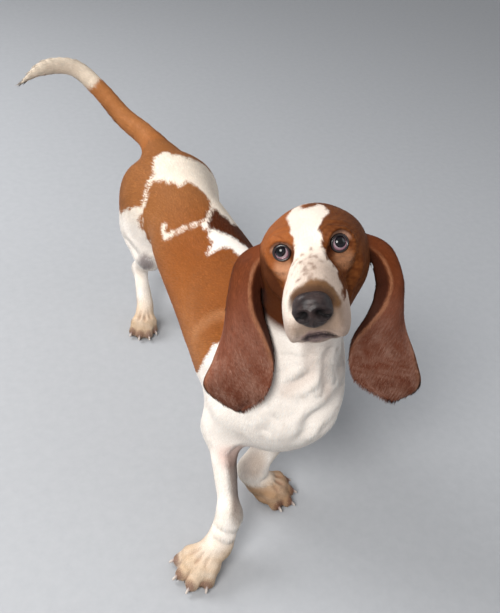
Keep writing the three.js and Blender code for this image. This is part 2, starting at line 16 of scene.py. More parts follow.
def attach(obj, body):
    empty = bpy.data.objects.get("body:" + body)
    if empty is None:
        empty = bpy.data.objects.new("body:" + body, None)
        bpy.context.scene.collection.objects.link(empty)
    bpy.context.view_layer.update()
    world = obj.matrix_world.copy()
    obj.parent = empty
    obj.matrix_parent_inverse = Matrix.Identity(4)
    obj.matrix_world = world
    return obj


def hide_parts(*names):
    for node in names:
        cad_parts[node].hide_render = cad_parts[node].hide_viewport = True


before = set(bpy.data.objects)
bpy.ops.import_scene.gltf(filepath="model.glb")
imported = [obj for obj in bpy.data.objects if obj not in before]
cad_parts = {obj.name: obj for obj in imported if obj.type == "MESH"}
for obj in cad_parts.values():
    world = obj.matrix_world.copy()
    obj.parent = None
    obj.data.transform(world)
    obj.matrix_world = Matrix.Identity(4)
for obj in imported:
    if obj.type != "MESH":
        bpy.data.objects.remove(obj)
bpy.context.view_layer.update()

print("nodes:", len(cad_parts))

# %% [markdown]
# The hound was measured in millimetres from its own origin, between its feet, and its head from
# a point midway between the eyes. Two small functions carry points from there to the scene,
# which is in metres, so every size below can be written as it would be taped on a real hound.

# %% Measuring frames
MM = 0.001
ORIGIN = np.array([22.0, -70.0, 0.0])
HEAD_AT = np.array([22.0, -232.0, 490.0])
HEAD_YAW, HEAD_PITCH, HEAD_ROLL = -29.0, -16.0, -20.5


def turned(x, y, z):
    """Rotation matrix: about x, then y, then z, in degrees."""
    turn = Matrix.Rotation(math.radians(z), 3, "Z")
    turn = turn @ Matrix.Rotation(math.radians(y), 3, "Y")
    return np.array(turn @ Matrix.Rotation(math.radians(x), 3, "X"))


HEAD_TURN = turned(0, 0, HEAD_YAW) @ turned(HEAD_PITCH, 0, 0) @ turned(0, HEAD_ROLL, 0)


def on_head(p):
    return HEAD_AT + np.asarray(p, float) @ HEAD_TURN.T


def in_head(p):
    return (np.asarray(p, float) - HEAD_AT) @ HEAD_TURN


def to_scene(p):
    return (np.asarray(p, float) + ORIGIN) * MM


def from_scene(p):
    return np.asarray(p, float) / MM - ORIGIN


# %% [markdown]
# The camera looks down at the hound from in front of its right shoulder. It was found by
# matching the eyes, feet, ears and tail, so it is placed by numbers and not by eye.

# %% Camera
CAMERA_AT = np.array([-339.5, -834.0, 970.0])
CAMERA_PITCH, CAMERA_YAW, CAMERA_ROLL = math.radians(39.95), math.radians(26.0), math.radians(9.1)
FOCAL_PIXELS = 690.0
PICTURE = (500, 613)
SENSOR_WIDTH = 36.0

aside = Vector((math.cos(CAMERA_YAW), -math.sin(CAMERA_YAW), 0))
ahead = Vector((math.sin(CAMERA_YAW), math.cos(CAMERA_YAW), 0))
upright = Vector((0, 0, 1))
look = ahead * math.cos(CAMERA_PITCH) - upright * math.sin(CAMERA_PITCH)
over = ahead * math.sin(CAMERA_PITCH) + upright * math.cos(CAMERA_PITCH)
right = aside * math.cos(CAMERA_ROLL) + over * math.sin(CAMERA_ROLL)
up = over * math.cos(CAMERA_ROLL) - aside * math.sin(CAMERA_ROLL)

camera_data = bpy.data.cameras.new("camera")
camera_data.sensor_fit = "AUTO"
camera_data.sensor_width = SENSOR_WIDTH
camera_data.lens = FOCAL_PIXELS / max(PICTURE) * SENSOR_WIDTH
camera = bpy.data.objects.new("camera", camera_data)
pose = Matrix((right, up, -look)).transposed().to_4x4()
pose.translation = Vector(to_scene(CAMERA_AT))
camera.matrix_world = pose
bpy.context.scene.collection.objects.link(camera)
bpy.context.scene.camera = camera
print("lens:", round(camera_data.lens, 2), "mm")

# %% [markdown]
# Every finish below is built from shader nodes. Long chains of Math nodes are hard to read, so
# a small class wraps a socket and lets a mask be written as an expression, such as
# `grain * 0.5 + 0.4`. `Finish` starts a material and adds any other node by its type.

# %% Writing shaders as expressions
class Wire:
    """A socket of a shader that can be used in arithmetic."""

    def __init__(self, finish, socket):
        self.finish = finish
        self.socket = socket

    def math(self, operation, other):
        return self.finish.node("ShaderNodeMath", {"operation": operation}, {0: self, 1: other})

    def __add__(self, other):
        return self.math("ADD", other)

    def __mul__(self, other):
        return self.math("MULTIPLY", other)

    def ramp(self, low, high):
        """0 below low, 1 above high and smooth between."""
        settings = {"interpolation_type": "SMOOTHSTEP"}
        return self.finish.node("ShaderNodeMapRange", settings, {0: self, 1: low, 2: high})


class Finish:
    """A material with a Principled shader."""

    def __init__(self, name, **values):
        self.material = bpy.data.materials.new(name)
        self.material.use_nodes = True
        self.nodes = self.material.node_tree.nodes
        self.links = self.material.node_tree.links
        self.shader = self.nodes["Principled BSDF"]
        for socket, value in values.items():
            self.set(socket.replace("_", " "), value)

    def set(self, name, value):
        """Gives a value, or what another node makes, to a socket of the Principled shader."""
        self.put(self.shader.inputs[name], value)

    def put(self, socket, value):
        if isinstance(value, Wire):
            self.links.new(value.socket, socket)
        elif isinstance(value, (tuple, list)) and socket.type == "RGBA":
            socket.default_value = (*value[:3], 1.0)
        else:
            socket.default_value = value

    def node(self, kind, settings=None, values=None, output=0):
        made = self.nodes.new(kind)
        for name, value in (settings or {}).items():
            setattr(made, name, value)
        for key, value in (values or {}).items():
            self.put(made.inputs[key], value)
        return Wire(self, made.outputs[output])

    def mix(self, share, first, second, blend="MIX"):
        settings = {"data_type": "RGBA", "blend_type": blend}
        return self.node("ShaderNodeMix", settings, {0: share, 6: first, 7: second}, 2)

    def noise(self, place, scale, detail=2.0, roughness=0.5):
        values = {"Vector": place, "Scale": scale, "Detail": detail, "Roughness": roughness}
        return self.node("ShaderNodeTexNoise", None, values)

    def bump(self, height, distance, strength):
        values = {"Height": height, "Distance": distance, "Strength": strength}
        self.set("Normal", self.node("ShaderNodeBump", None, values))

    def place(self, scale=(1, 1, 1)):
        here = self.node("ShaderNodeTexCoord", None, None, "Object")
        return self.node("ShaderNodeMapping", None, {"Vector": here, "Scale": scale})

    def attribute(self, name, output="Color"):
        return self.node("ShaderNodeAttribute", {"attribute_name": name}, None, output)


def colour(code):
    """Linear red, green and blue of a colour written as six hex digits."""
    parts = [int(code[i:i + 2], 16) / 255 for i in (0, 2, 4)]
    return tuple(c / 12.92 if c < 0.04045 else ((c + 0.055) / 1.055) ** 2.4 for c in parts)


# %% [markdown]
# The room is only a plain pale floor and soft light, so that nothing competes with the hound.
# The big soft light stands high at its right side, as the window does: it models the head and
# puts a small highlight in each eye. A weaker one fills the far side, and a third, behind the
# hound, brightens its back and rump.

# %% Floor and light
FLOOR_HALF = 4.0
FLOOR_PALE, FLOOR_PALER = colour("9fa1a5"), colour("abadb0")
LIGHTS = {
    "window": {"at": (-1.3, -1.2, 1.8), "toward": (0, -0.1, 0.3), "size": 1.1, "power": 49,
               "tint": (1.0, 0.98, 0.95)},
    "far_fill": {"at": (1.8, -0.6, 1.5), "toward": (0, 0, 0.3), "size": 1.6, "power": 8,
                 "tint": (0.97, 0.98, 1.0)},
    "behind": {"at": (-1.4, 1.2, 1.7), "toward": (0, 0.1, 0.25), "size": 1.3, "power": 46,
               "tint": (1, 1, 1)},
}
ROOM_TINT, ROOM_STRENGTH = (0.84, 0.85, 0.87, 1), 0.5


def mesh_object(name, mesh):
    data = bpy.data.meshes.new(name)
    mesh.to_mesh(data)
    mesh.free()
    made = bpy.data.objects.new(name, data)
    bpy.context.scene.collection.objects.link(made)
    return made


def stage_floor():
    mesh = bmesh.new()
    bmesh.ops.create_grid(mesh, x_segments=2, y_segments=2, size=FLOOR_HALF)
    floor = mesh_object("floor", mesh)
    paint = Finish("floor_paint", Roughness=0.55, Specular_IOR_Level=0.3)
    speckle = paint.noise(paint.place(), 60.0, 4.0, 0.6)
    paint.set("Base Color", paint.mix(speckle, FLOOR_PALE, FLOOR_PALER))
    floor.data.materials.append(paint.material)


def soft_light(name, at, toward, size, power, tint):
    data = bpy.data.lights.new(name, "AREA")
    data.shape = "DISK"
    data.size = size
    data.energy = power
    data.color = tint
    light = bpy.data.objects.new(name, data)
    light.location = at
    light.rotation_euler = (Vector(toward) - Vector(at)).to_track_quat("-Z", "Y").to_euler()
    bpy.context.scene.collection.objects.link(light)


stage_floor()
for name, settings in LIGHTS.items():
    soft_light(name, **settings)
world = bpy.data.worlds.new("studio")
world.use_nodes = True
background = world.node_tree.nodes["Background"].inputs
background["Color"].default_value = ROOM_TINT
background["Strength"].default_value = ROOM_STRENGTH
bpy.context.scene.world = world
bpy.context.scene.view_settings.view_transform = "Standard"
print("lights:", len(LIGHTS))

# %% [markdown]
# ## The body as muscles
# A hound has few flat or round parts, but it is well described by its muscles and bones, each
# a ball (a stretched sphere) or a rod (a bar with round ends), softly joined. `ball` and `rod`
# return how far points are from a muscle's surface, and the way that leads straight off it.
# `joined` blends two muscles as skin stretched over both would. With these, any mesh can be
# settled on the hound's surface. Each muscle also knows which way the hair on it lies.

# %% Muscles
TINY = 1e-9


class Muscle:
    def __init__(self, measure, cast, reach, blend, lie):
        self.measure = measure
        self.cast = cast
        self.reach = reach
        self.blend = blend
        self.lie = lie


def ball(at, radii, blend, lie, turn=(0, 0, 0)):
    at, radii, matrix = np.array(at, float), np.array(radii, float), turned(*turn)

    def measure(points):
        local = (points - at) @ matrix / radii
        near = np.linalg.norm(local, axis=1)
        local /= radii
        steep = np.maximum(np.linalg.norm(local, axis=1), TINY)
        return near * (near - 1) / steep, (local / steep[:, None]) @ matrix.T

    def cast(mesh):
        shape = Matrix.LocRotScale(Vector(at), Matrix(matrix.tolist()), Vector(radii))
        bmesh.ops.create_icosphere(mesh, subdivisions=4, radius=1.0, matrix=shape)

    return Muscle(measure, cast, (at - radii.max(), at + radii.max()), blend, lie)


def rod(start, end, radii, blend, lie=None):
    start, end = np.array(start, float), np.array(end, float)
    span = end - start

    def measure(points):
        along = np.clip((points - start) @ span / (span @ span), 0, 1)
        off = points - start - along[:, None] * span
        gap = np.maximum(np.linalg.norm(off, axis=1), TINY)
        return gap - radii[0] - (radii[1] - radii[0]) * along, off / gap[:, None]

    def cast(mesh):
        turn = Vector(span).to_track_quat("Z", "Y").to_matrix().to_4x4()
        middle = Matrix.Translation(Vector((start + end) / 2)) @ turn
        bmesh.ops.create_cone(mesh, cap_ends=True, segments=24, radius1=radii[0],
                              radius2=radii[1], depth=float(np.linalg.norm(span)), matrix=middle)
        for place, radius in ((start, radii[0]), (end, radii[1])):
            bmesh.ops.create_icosphere(mesh, subdivisions=3, radius=radius,
                                       matrix=Matrix.Translation(Vector(place)))

    low = np.minimum(start, end) - max(radii)
    high = np.maximum(start, end) + max(radii)
    way = span / np.linalg.norm(span) if lie is None else np.array(lie, float)
    return Muscle(measure, cast, (low, high), blend, way)


def joined(first, second, blend):
    """Softly joined surface of two (gap, slope) pairs."""
    swap = first[0] > second[0]
    low = np.where(swap, second[0], first[0])
    high = np.where(swap, first[0], second[0])
    low_slope = np.where(swap[:, None], second[1], first[1])
    high_slope = np.where(swap[:, None], first[1], second[1])
    near = np.maximum(blend - (high - low), 0) / blend
    slope = low_slope + (high_slope - low_slope) * near[:, None] / 2
    return low - near ** 2 * blend / 4, slope


def form(muscles, points):
    whole = muscles[0].measure(points)
    for muscle in muscles[1:]:
        whole = joined(whole, muscle.measure(points), muscle.blend)
    return whole


# %% [markdown]
# The trunk is long and low, with a deep rib cage and a breastbone that carries on between the
# forelegs. The neck runs up into the raised head. The hair lies from the head to the tail and
# turns down on the flanks and chest.

# %% Trunk and neck
BACKWARD = (0, 1, -0.35)
TRUNK = [
    ball([8, -85, 238], [88, 180, 98], 1, BACKWARD),
    ball([34, -232, 210], [80, 70, 76], 50, (0, 0.15, -1)),
    rod([20, -225, 166], [0, 90, 180], [34, 22], 50, (0, 1, 0)),
    ball([-2, 110, 248], [77, 150, 76], 60, BACKWARD),
    rod([14, -130, 292], [-4, 250, 290], [50, 48], 40, (0, 1, 0)),
    ball([-6, 268, 268], [80, 92, 76], 50, (0, 1, -0.5)),
    ball([-34, -170, 240], [34, 68, 82], 36, (0, 0.5, -1), [20, 0, 0]),
    ball([92, -175, 236], [38, 70, 88], 40, (0, 0.5, -1), [20, 0, 0]),
]
NAPE_LIE, THROAT_LIE = (0.1, 0.6, -1), (0, -0.1, -1)
NECK = [
    rod([22, -170, 262], on_head([0, 66, -24]), [82, 55], 50, NAPE_LIE),
    rod([14, -80, 300], on_head([2, 82, -32]), [44, 24], 60, NAPE_LIE),
    rod([44, -234, 230], on_head([2, 30, -62]), [58, 36], 50, THROAT_LIE),
    rod([40, -284, 236], on_head([0, 8, -84]), [22, 14], 34, THROAT_LIE),
]

# %% [markdown]
# Basset legs are short and heavy. The forelegs turn in at the wrist and out again at the paw.
# Each paw is a pad with four toes, and a toe is two rods, from its root over the knuckle to
# the tip, worked out from the way that the paw points.

# %% Legs and paws
FORE_RIGHT = [
    rod([-40, -222, 205], [-56, -218, 163], [36, 27], 36),
    rod([-56, -218, 163], [-66, -316, 76], [25, 16], 24),
    rod([-66, -316, 76], [-86, -336, 34], [20, 23], 18),
]
FORE_LEFT = [
    rod([96, -200, 195], [84, -190, 150], [44, 40], 40),
    rod([84, -190, 150], [0, -238, 62], [34, 21], 28),
    rod([0, -238, 62], [12, -244, 34], [22, 23], 18),
]
HIND_RIGHT = [
    ball([-60, 284, 226], [42, 70, 80], 50, (0, 0.35, -1), [-15, 0, 0]),
    rod([-56, 266, 190], [-54, 226, 154], [38, 27], 36, (0, 0.2, -1)),
    rod([-54, 232, 150], [-62, 276, 90], [25, 15], 22),
    rod([-62, 276, 90], [-64, 216, 40], [15, 18], 16),
]
HIND_LEFT = [
    ball([50, 288, 226], [42, 70, 80], 50, (0, 0.35, -1), [-15, 0, 0]),
    rod([48, 280, 190], [50, 262, 156], [38, 27], 36, (0, 0.2, -1)),
    rod([50, 266, 152], [56, 330, 94], [25, 15], 22),
    rod([56, 330, 94], [58, 314, 40], [15, 18], 16),
]
LEGS = [FORE_RIGHT, FORE_LEFT, HIND_RIGHT, HIND_LEFT]

PAWS = {
    "forepaw_right": {"at": (-93, -339), "turn_out": 64, "side": -1, "reach": 62, "fan": 24,
                      "scale": 1},
    "forepaw_left": {"at": (14, -244), "turn_out": 60, "side": 1, "reach": 60, "fan": 22,
                     "scale": 0.97},
    "hindpaw_right": {"at": (-67, 206), "turn_out": 14, "side": -1, "reach": 54, "fan": 20,
                      "scale": 0.93},
    "hindpaw_left": {"at": (59, 306), "turn_out": 12, "side": 1, "reach": 54, "fan": 20,
                     "scale": 0.93},
}
TOE_REACH = (0.8, 1, 1, 0.94)
ROOT_HEIGHT, KNUCKLE_HEIGHT, TIP_HEIGHT = 33, 26, 10
ROOT_AHEAD, KNUCKLE_SHARE, TIP_BACK = 6, 0.6, 9
TOE_ROOT, TOE_KNUCKLE, TOE_TIP = 17, 12.5, 11.5
TOE_BLEND, PAD_BLEND = 5, 16
PAD_AHEAD, PAD_HEIGHT, PAD_RADIUS, PAD_THICK = 18, 13, 27, 16.5


def pointing(paw, off=0):
    """Level heading of a paw, or of a toe that is turned off it by some degrees."""
    angle = math.radians(paw["turn_out"] + off)
    return np.array([paw["side"] * math.sin(angle), -math.cos(angle), 0])


def toes(paw):
    """Root, knuckle, tip and heading of the four toes of a paw."""
    made = []
    heel, s = np.array([*paw["at"], 0.0]), paw["scale"]
    for i, share in enumerate(TOE_REACH):
        heading = pointing(paw, (i - 1.5) * paw["fan"])
        reach = paw["reach"] * share
        root = heel + heading * ROOT_AHEAD + [0, 0, ROOT_HEIGHT * s]
        knuckle = heel + heading * reach * KNUCKLE_SHARE + [0, 0, KNUCKLE_HEIGHT * s]
        tip = heel + heading * (reach - TIP_BACK * s) + [0, 0, TIP_HEIGHT * s]
        made.append((root, knuckle, tip, heading))
    return made


def paw_muscles(paw):
    s, heading = paw["scale"], pointing(paw)
    pad = np.array([*paw["at"], PAD_HEIGHT * s]) + heading * PAD_AHEAD * s
    radii = [PAD_RADIUS * s, PAD_RADIUS * s, PAD_THICK * s]
    made = [ball(pad, radii, PAD_BLEND, heading)]
    for root, knuckle, tip, _ in toes(paw):
        made.append(rod(root, knuckle, [TOE_ROOT * s, TOE_KNUCKLE * s], TOE_BLEND))
        made.append(rod(knuckle, tip, [TOE_KNUCKLE * s, TOE_TIP * s], TOE_BLEND))
    return made


# %% [markdown]
# The head has a domed skull, a long square muzzle and hanging lips. Its muscles are placed in
# the head's own frame. The two hollows of the orbits are taken away, and the lids, thin shells
# over the eyeballs, are put in. Hair runs from the nose back over the skull and down the cheeks.

# %% Head
EYE_ACROSS, EYE_BACK, EYE_HEIGHT, EYE_RADIUS = 34, 4, 1, 12
LID_DEPTH = 1.3
LID_BLEND = 5


def both_sides(at, radii, blend, lie, turn=(0, 0, 0)):
    other = [-at[0], *at[1:]]
    return [ball(at, radii, blend, lie, turn),
            ball(other, radii, blend, (-lie[0], *lie[1:]), [turn[0], -turn[1], -turn[2]])]


HEAD = [
    ball([2, 46, -5], [52, 64, 39], 1, (0, 1, 0)),
    ball([2, 98, 0], [22, 22, 17], 30, (0, 0.6, -0.8)),
    *both_sides([28, 6, 13], [20, 24, 15], 22, (0.35, 1, 0)),
    *both_sides([44, 42, -28], [26, 48, 40], 35, (0.1, 0.7, -0.7)),
    rod([0, 0, -14], [0, -86, -27], [27, 23.5], 25, (0, 1, 0)),
    ball([0, -50, -41], [33, 58, 28], 25, (0, 1, -0.4)),
    *both_sides([25, -57, -60], [15, 46, 29], 20, (0, 0.6, -0.8), [0, -12, 0]),
    rod([0, 40, -60], [0, -78, -70], [32, 18], 25, (0, 1, -0.1)),
    ball([0, 60, -52], [46, 52, 38], 35, (0, 0.8, -0.6)),
]
ORBITS = both_sides([37, -17, -3], [16, 15, 13], 1, (0, 1, 0))
ORBIT_BLEND = 10
LID_RADIUS = EYE_RADIUS + LID_DEPTH
LIDS = both_sides([EYE_ACROSS, EYE_BACK, EYE_HEIGHT], [LID_RADIUS] * 3, LID_BLEND, (0.5, 1, 0))


def head_form(points):
    flesh = form(HEAD, points)
    hollow = form(ORBITS, points)
    gap, slope = joined((-flesh[0], -flesh[1]), hollow, ORBIT_BLEND)
    whole = -gap, -slope
    for lid in LIDS:
        whole = joined(whole, lid.measure(points), LID_BLEND)
    return whole


# %% [markdown]
# The tail is carried up and bends to the hound's right at its end. Its middle line is a smooth
# curve through a few places, and the same kind of curve gives the edges of the ears.

# %% Smooth curves and the tail
def curve_at(places, t):
    """Points and directions of a centripetal Catmull-Rom curve at shares t of its spans."""
    places = np.asarray(places, float)
    ends = [2 * places[0] - places[1], *places, 2 * places[-1] - places[-2]]
    ends = np.array(ends)
    t = np.atleast_1d(t) * (len(places) - 1)
    span = np.minimum(t.astype(int), len(places) - 2)
    u = (t - span)[:, None]
    x0, x1, x2, x3 = (ends[span + i] for i in range(4))
    d0, d1, d2 = (np.linalg.norm(b - a, axis=1)[:, None] ** 0.5
                  for a, b in ((x0, x1), (x1, x2), (x2, x3)))
    t1 = ((x1 - x0) / d0 - (x2 - x0) / (d0 + d1) + (x2 - x1) / d1) * d1
    t2 = ((x2 - x1) / d1 - (x3 - x1) / (d1 + d2) + (x3 - x2) / d2) * d1
    c2, c3 = -3 * x1 + 3 * x2 - 2 * t1 - t2, 2 * x1 - 2 * x2 + t1 + t2
    return x1 + u * (t1 + u * (c2 + u * c3)), t1 + u * (2 * c2 + 3 * u * c3)


def listed(values, t):
    return np.interp(t, np.linspace(0, 1, len(values)), values)


TAIL_LINE = [
    [-12, 330, 312], [-26, 372, 328], [-62, 434, 346], [-99, 490, 380],
    [-140, 518, 411], [-200, 496, 423], [-252, 454, 410],
]
TAIL_RADII = [34, 24, 21, 19, 18, 16, 2.5]
TAIL_RODS = 24
TAIL_TIP_TRIM = 0.985

tail_shares = np.linspace(0, TAIL_TIP_TRIM, TAIL_RODS + 1)
tail_places = curve_at(TAIL_LINE, tail_shares)[0]
tail_widths = listed(TAIL_RADII, tail_shares)
TAIL = [rod(tail_places[i], tail_places[i + 1], tail_widths[i:i + 2], 2)
        for i in range(TAIL_RODS)]
print("tail:", TAIL_RODS, "rods")

# %% [markdown]
# Now the whole body is one function. Each group is only worked out for the points near it,
# which keeps the function quick on a mesh of many thousand points.

# %% Whole body
NEAR = 70.0
LIE_SOFTNESS = 9.0


def group(muscles, blend, measure=None, local=False):
    low = np.min([m.reach[0] for m in muscles], axis=0) - NEAR
    high = np.max([m.reach[1] for m in muscles], axis=0) + NEAR
    return {"muscles": muscles, "blend": blend, "low": low, "high": high,
            "measure": measure or (lambda points: form(muscles, points)), "local": local}


GROUPS = [group(TRUNK, 1), group(NECK, 50)]
GROUPS += [group(leg, 36) for leg in LEGS]
GROUPS += [group(paw_muscles(paw), 10) for paw in PAWS.values()]
GROUPS += [group(HEAD, 30, head_form, True), group(TAIL, 24)]


def near_group(part, points):
    """The points in a group's own frame, and which of them are near it."""
    own = in_head(points) if part["local"] else points
    return own, np.all((own > part["low"]) & (own < part["high"]), axis=1)


def body(points):
    """How far points are from the hound's surface, less than zero inside, and the way off it."""
    points = np.asarray(points, float)
    gap, slope = np.full(len(points), 1e3), np.zeros((len(points), 3))
    for part in GROUPS:
        own, near = near_group(part, points)
        if not near.any():
            continue
        here = part["measure"](own[near])
        if part["local"]:
            here = here[0], here[1] @ HEAD_TURN.T
        gap[near], slope[near] = joined((gap[near], slope[near]), here, part["blend"])
    return gap, slope


def lie_of_hair(points):
    """Which way the hair lies, from the muscles nearest to each point."""
    total = np.zeros((len(points), 3))
    for part in GROUPS:
        own, near = near_group(part, points)
        for muscle in part["muscles"]:
            gap = muscle.measure(own[near])[0]
            way = np.array(muscle.lie, float)
            way = (way @ HEAD_TURN.T if part["local"] else way) / np.linalg.norm(way)
            total[near] += np.exp(-np.clip(gap, -20, 200) / LIE_SOFTNESS)[:, None] * way
    return total / np.maximum(np.linalg.norm(total, axis=1, keepdims=True), TINY)


print("muscles:", sum(len(part["muscles"]) for part in GROUPS))

# %% [markdown]
# ## One skin
# The skin is a single mesh, so that no seam shows where a leg or the neck joins the body. The
# muscles are cast as spheres and bars, and a voxel remesh makes one closed net of even faces
# from them. Then each vertex is settled on the surface and pulled level with its neighbours,
# which leaves a smooth skin that lies inside the solids by the depth of the coat.

# %% Cast the muscles and remesh them
def with_modifier(piece, kind, **settings):
    """Gives the piece the mesh that a modifier makes of it."""
    modifier = piece.modifiers.new(kind.lower(), kind)
    for name, value in settings.items():
        setattr(modifier, name, value)
    graph = bpy.context.evaluated_depsgraph_get()
    made = bpy.data.meshes.new_from_object(piece.evaluated_get(graph))
    piece.modifiers.clear()
    old, piece.data = piece.data, made
    bpy.data.meshes.remove(old)


def read(items, key, width, kind=np.float32):
    """One value of every item of a mesh, as rows of the given width."""
    values = np.empty(len(items) * width, kind)
    items.foreach_get(key, values)
    return values.reshape(-1, width)


def vertices(data):
    return read(data.vertices, "co", 3).astype(float)


def set_vertices(data, places):
    data.vertices.foreach_set("co", np.asarray(places, np.float32).ravel())
    data.update()


VOXEL = 0.0042

cast = bmesh.new()
for part in GROUPS:
    whole = bmesh.new()
    muscles = part["muscles"] + (LIDS if part["local"] else [])
    for muscle in muscles:
        muscle.cast(whole)
    if part["local"]:
        bmesh.ops.transform(whole, verts=whole.verts,
                            matrix=Matrix(HEAD_TURN.tolist()).to_4x4())
        bmesh.ops.translate(whole, verts=whole.verts, vec=Vector(HEAD_AT))
    data = bpy.data.meshes.new("cast")
    whole.to_mesh(data)
    whole.free()
    cast.from_mesh(data)
    bpy.data.meshes.remove(data)
bmesh.ops.translate(cast, verts=cast.verts, vec=Vector(ORIGIN))
bmesh.ops.scale(cast, verts=cast.verts, vec=(MM, MM, MM))
skin = mesh_object("skin", cast)
with_modifier(skin, "REMESH", mode="VOXEL", voxel_size=VOXEL)
print("remeshed:", len(skin.data.polygons), "faces")

# %% [markdown]
# The face needs finer faces than the flanks. `refine` splits the faces near the eyes and the
# muzzle, and `settle` moves points straight onto the surface. `relax` slides each point toward
# the middle of its neighbours before it is settled again.

# %% Refine and settle
FACE_LOW, FACE_HIGH = (-62, -140, -110), (62, 16, math.inf)
EYE_AREA = 24
PAW_TOP = 46


def refine(piece, chosen):
    mesh = bmesh.new()
    mesh.from_mesh(piece.data)
    mesh.verts.ensure_lookup_table()
    inside = chosen(from_scene(vertices(piece.data)))
    edges = [e for e in mesh.edges if inside[e.verts[0].index] and inside[e.verts[1].index]]
    bmesh.ops.subdivide_edges(mesh, edges=edges, cuts=1, use_grid_fill=True)
    mesh.to_mesh(piece.data)
    mesh.free()


def links(data):
    return read(data.edges, "vertices", 2, np.int32)


def averaged(values, pairs):
    """Mean of each vertex's neighbours."""
    total = np.zeros_like(values)
    count = np.zeros(len(values))
    for a, b in ((0, 1), (1, 0)):
        for axis in range(values.shape[1]):
            total[:, axis] += np.bincount(pairs[:, a], values[pairs[:, b], axis], len(values))
        count += np.bincount(pairs[:, a], minlength=len(values))
    return total / np.maximum(count, 1)[:, None]


def settle(points, depth=0.0, steps=3, longest=4.0):
    for _ in range(steps):
        gap, slope = body(points)
        steep = np.maximum((slope ** 2).sum(1), 0.05)
        move = np.clip((gap + depth) / steep, -longest, longest)
        points = points - slope * move[:, None]
    return points


def relax(points, pairs, rounds, depth=0.0):
    for _ in range(rounds):
        points = points + 0.5 * (averaged(points, pairs) - points)
        points = settle(points, depth, 1)
    return points


def near_face(points):
    local = in_head(points)
    return np.all((local > FACE_LOW) & (local < FACE_HIGH), axis=1)


def near_eyes(points):
    local = in_head(points)
    local[:, 0] = np.abs(local[:, 0]) - EYE_ACROSS - 2
    return np.linalg.norm(local - [0, -6, EYE_HEIGHT], axis=1) < EYE_AREA


def near_paws(points):
    return points[:, 2] < PAW_TOP


set_vertices(skin.data, to_scene(settle(from_scene(vertices(skin.data)), 0, 4, 8.0)))
refine(skin, near_face)
refine(skin, near_eyes)
refine(skin, near_paws)
pairs = links(skin.data)
places = from_scene(vertices(skin.data))
places = settle(relax(settle(places, 0, 3), pairs, 6), 0, 3)
print("skin:", len(places), "vertices")

# %% [markdown]
# The skin is sunk under the solids by the depth of the coat that will cover it. The coat is
# deepest on the trunk and neck, short on the face and feet, and thinnest round the eyes.

# %% Room for the coat
COAT_DEPTH, SHORTER_COAT, LID_COAT = 2.6, 1.0, 0.3


def coat_depth(points):
    """How deep the skin lies under the solids."""
    local = in_head(points)
    face = np.clip((30 - local[:, 1]) / 60, 0, 1) * (np.abs(local).max(1) < 140)
    feet = np.clip((70 - points[:, 2]) / 30, 0, 1)
    depth = COAT_DEPTH - SHORTER_COAT * np.maximum(face, feet)
    return np.where(near_eyes(points), LID_COAT, depth)


depth = coat_depth(places)
places = settle(places, depth, 3)
set_vertices(skin.data, to_scene(places))
print("coat:", depth.min(), "to", depth.max(), "mm deep")

# %% [markdown]
# ## Ears
# A basset's ear is a long soft leather sheet. Its middle layer is stretched between a back edge
# and a front rim, both curves down the ear. At the rim it turns back toward the head, and this
# inner side shows as a dark hollow from the front. A grid is wrapped round the sheet, down its
# outer face and up its inner face, so it is closed at once.

# %% Ear sheets
EARS = {
    "ear_right": {
        "out": (-1, -0.35, 0.1),
        "inner_reach": 0.22,
        "back": [
            on_head([-44, 94, -8]), (-34, -153, 425), (-55, -181, 384), (-67, -205, 348),
            (-84, -223, 313), (-100, -239, 284), (-77, -252, 258), (-57, -262, 246),
        ],
        "front": [
            on_head([-48, 34, -4]), (-24, -192, 444), (-35, -206, 420), (-35, -227, 394),
            (-25, -247, 370), (-17, -268, 335), (-28, -283, 298), (-50, -266, 248),
        ],
        "bulge": (4, 8, 10, 10, 8, 5, 3, 0),
        "curl": (10, 20, 24, 24, 18, 8, 2, 0),
    },
    "ear_left": {
        "out": (1, -0.2, 0.1),
        "inner_reach": 0.34,
        "back": [
            on_head([44, 94, -10]), (146, -216, 466), (162, -240, 430), (172, -252, 393),
            (182, -266, 356), (200, -288, 312), (211, -302, 268), (176, -303, 249),
        ],
        "front": [
            on_head([48, 36, -6]), (119, -238, 472), (134, -256, 444), (134, -262, 414),
            (122, -262, 383), (104, -262, 345), (104, -281, 298), (164, -301, 251),
        ],
        "bulge": (4, 8, 10, 10, 9, 6, 3, 0),
        "curl": (10, 20, 24, 24, 16, 8, 2, 0),
    },
}
RIM_AT, INNER_DEPTH, INNER_TURN = 0.7, 0.8, 1.15
INNER_POWER, EAR_HALF_TOP, EAR_HALF_END = 1.3, 2.0, 1.2
RIPPLE = 1.3
EAR_AROUND, EAR_DOWN = 64, 84


def unit(v):
    return v / np.maximum(np.linalg.norm(v, axis=-1, keepdims=True), TINY)


def from_edges(share):
    """Distance of a share from the nearer of its ends, 0 and 1."""
    return np.minimum(share, 1 - share)


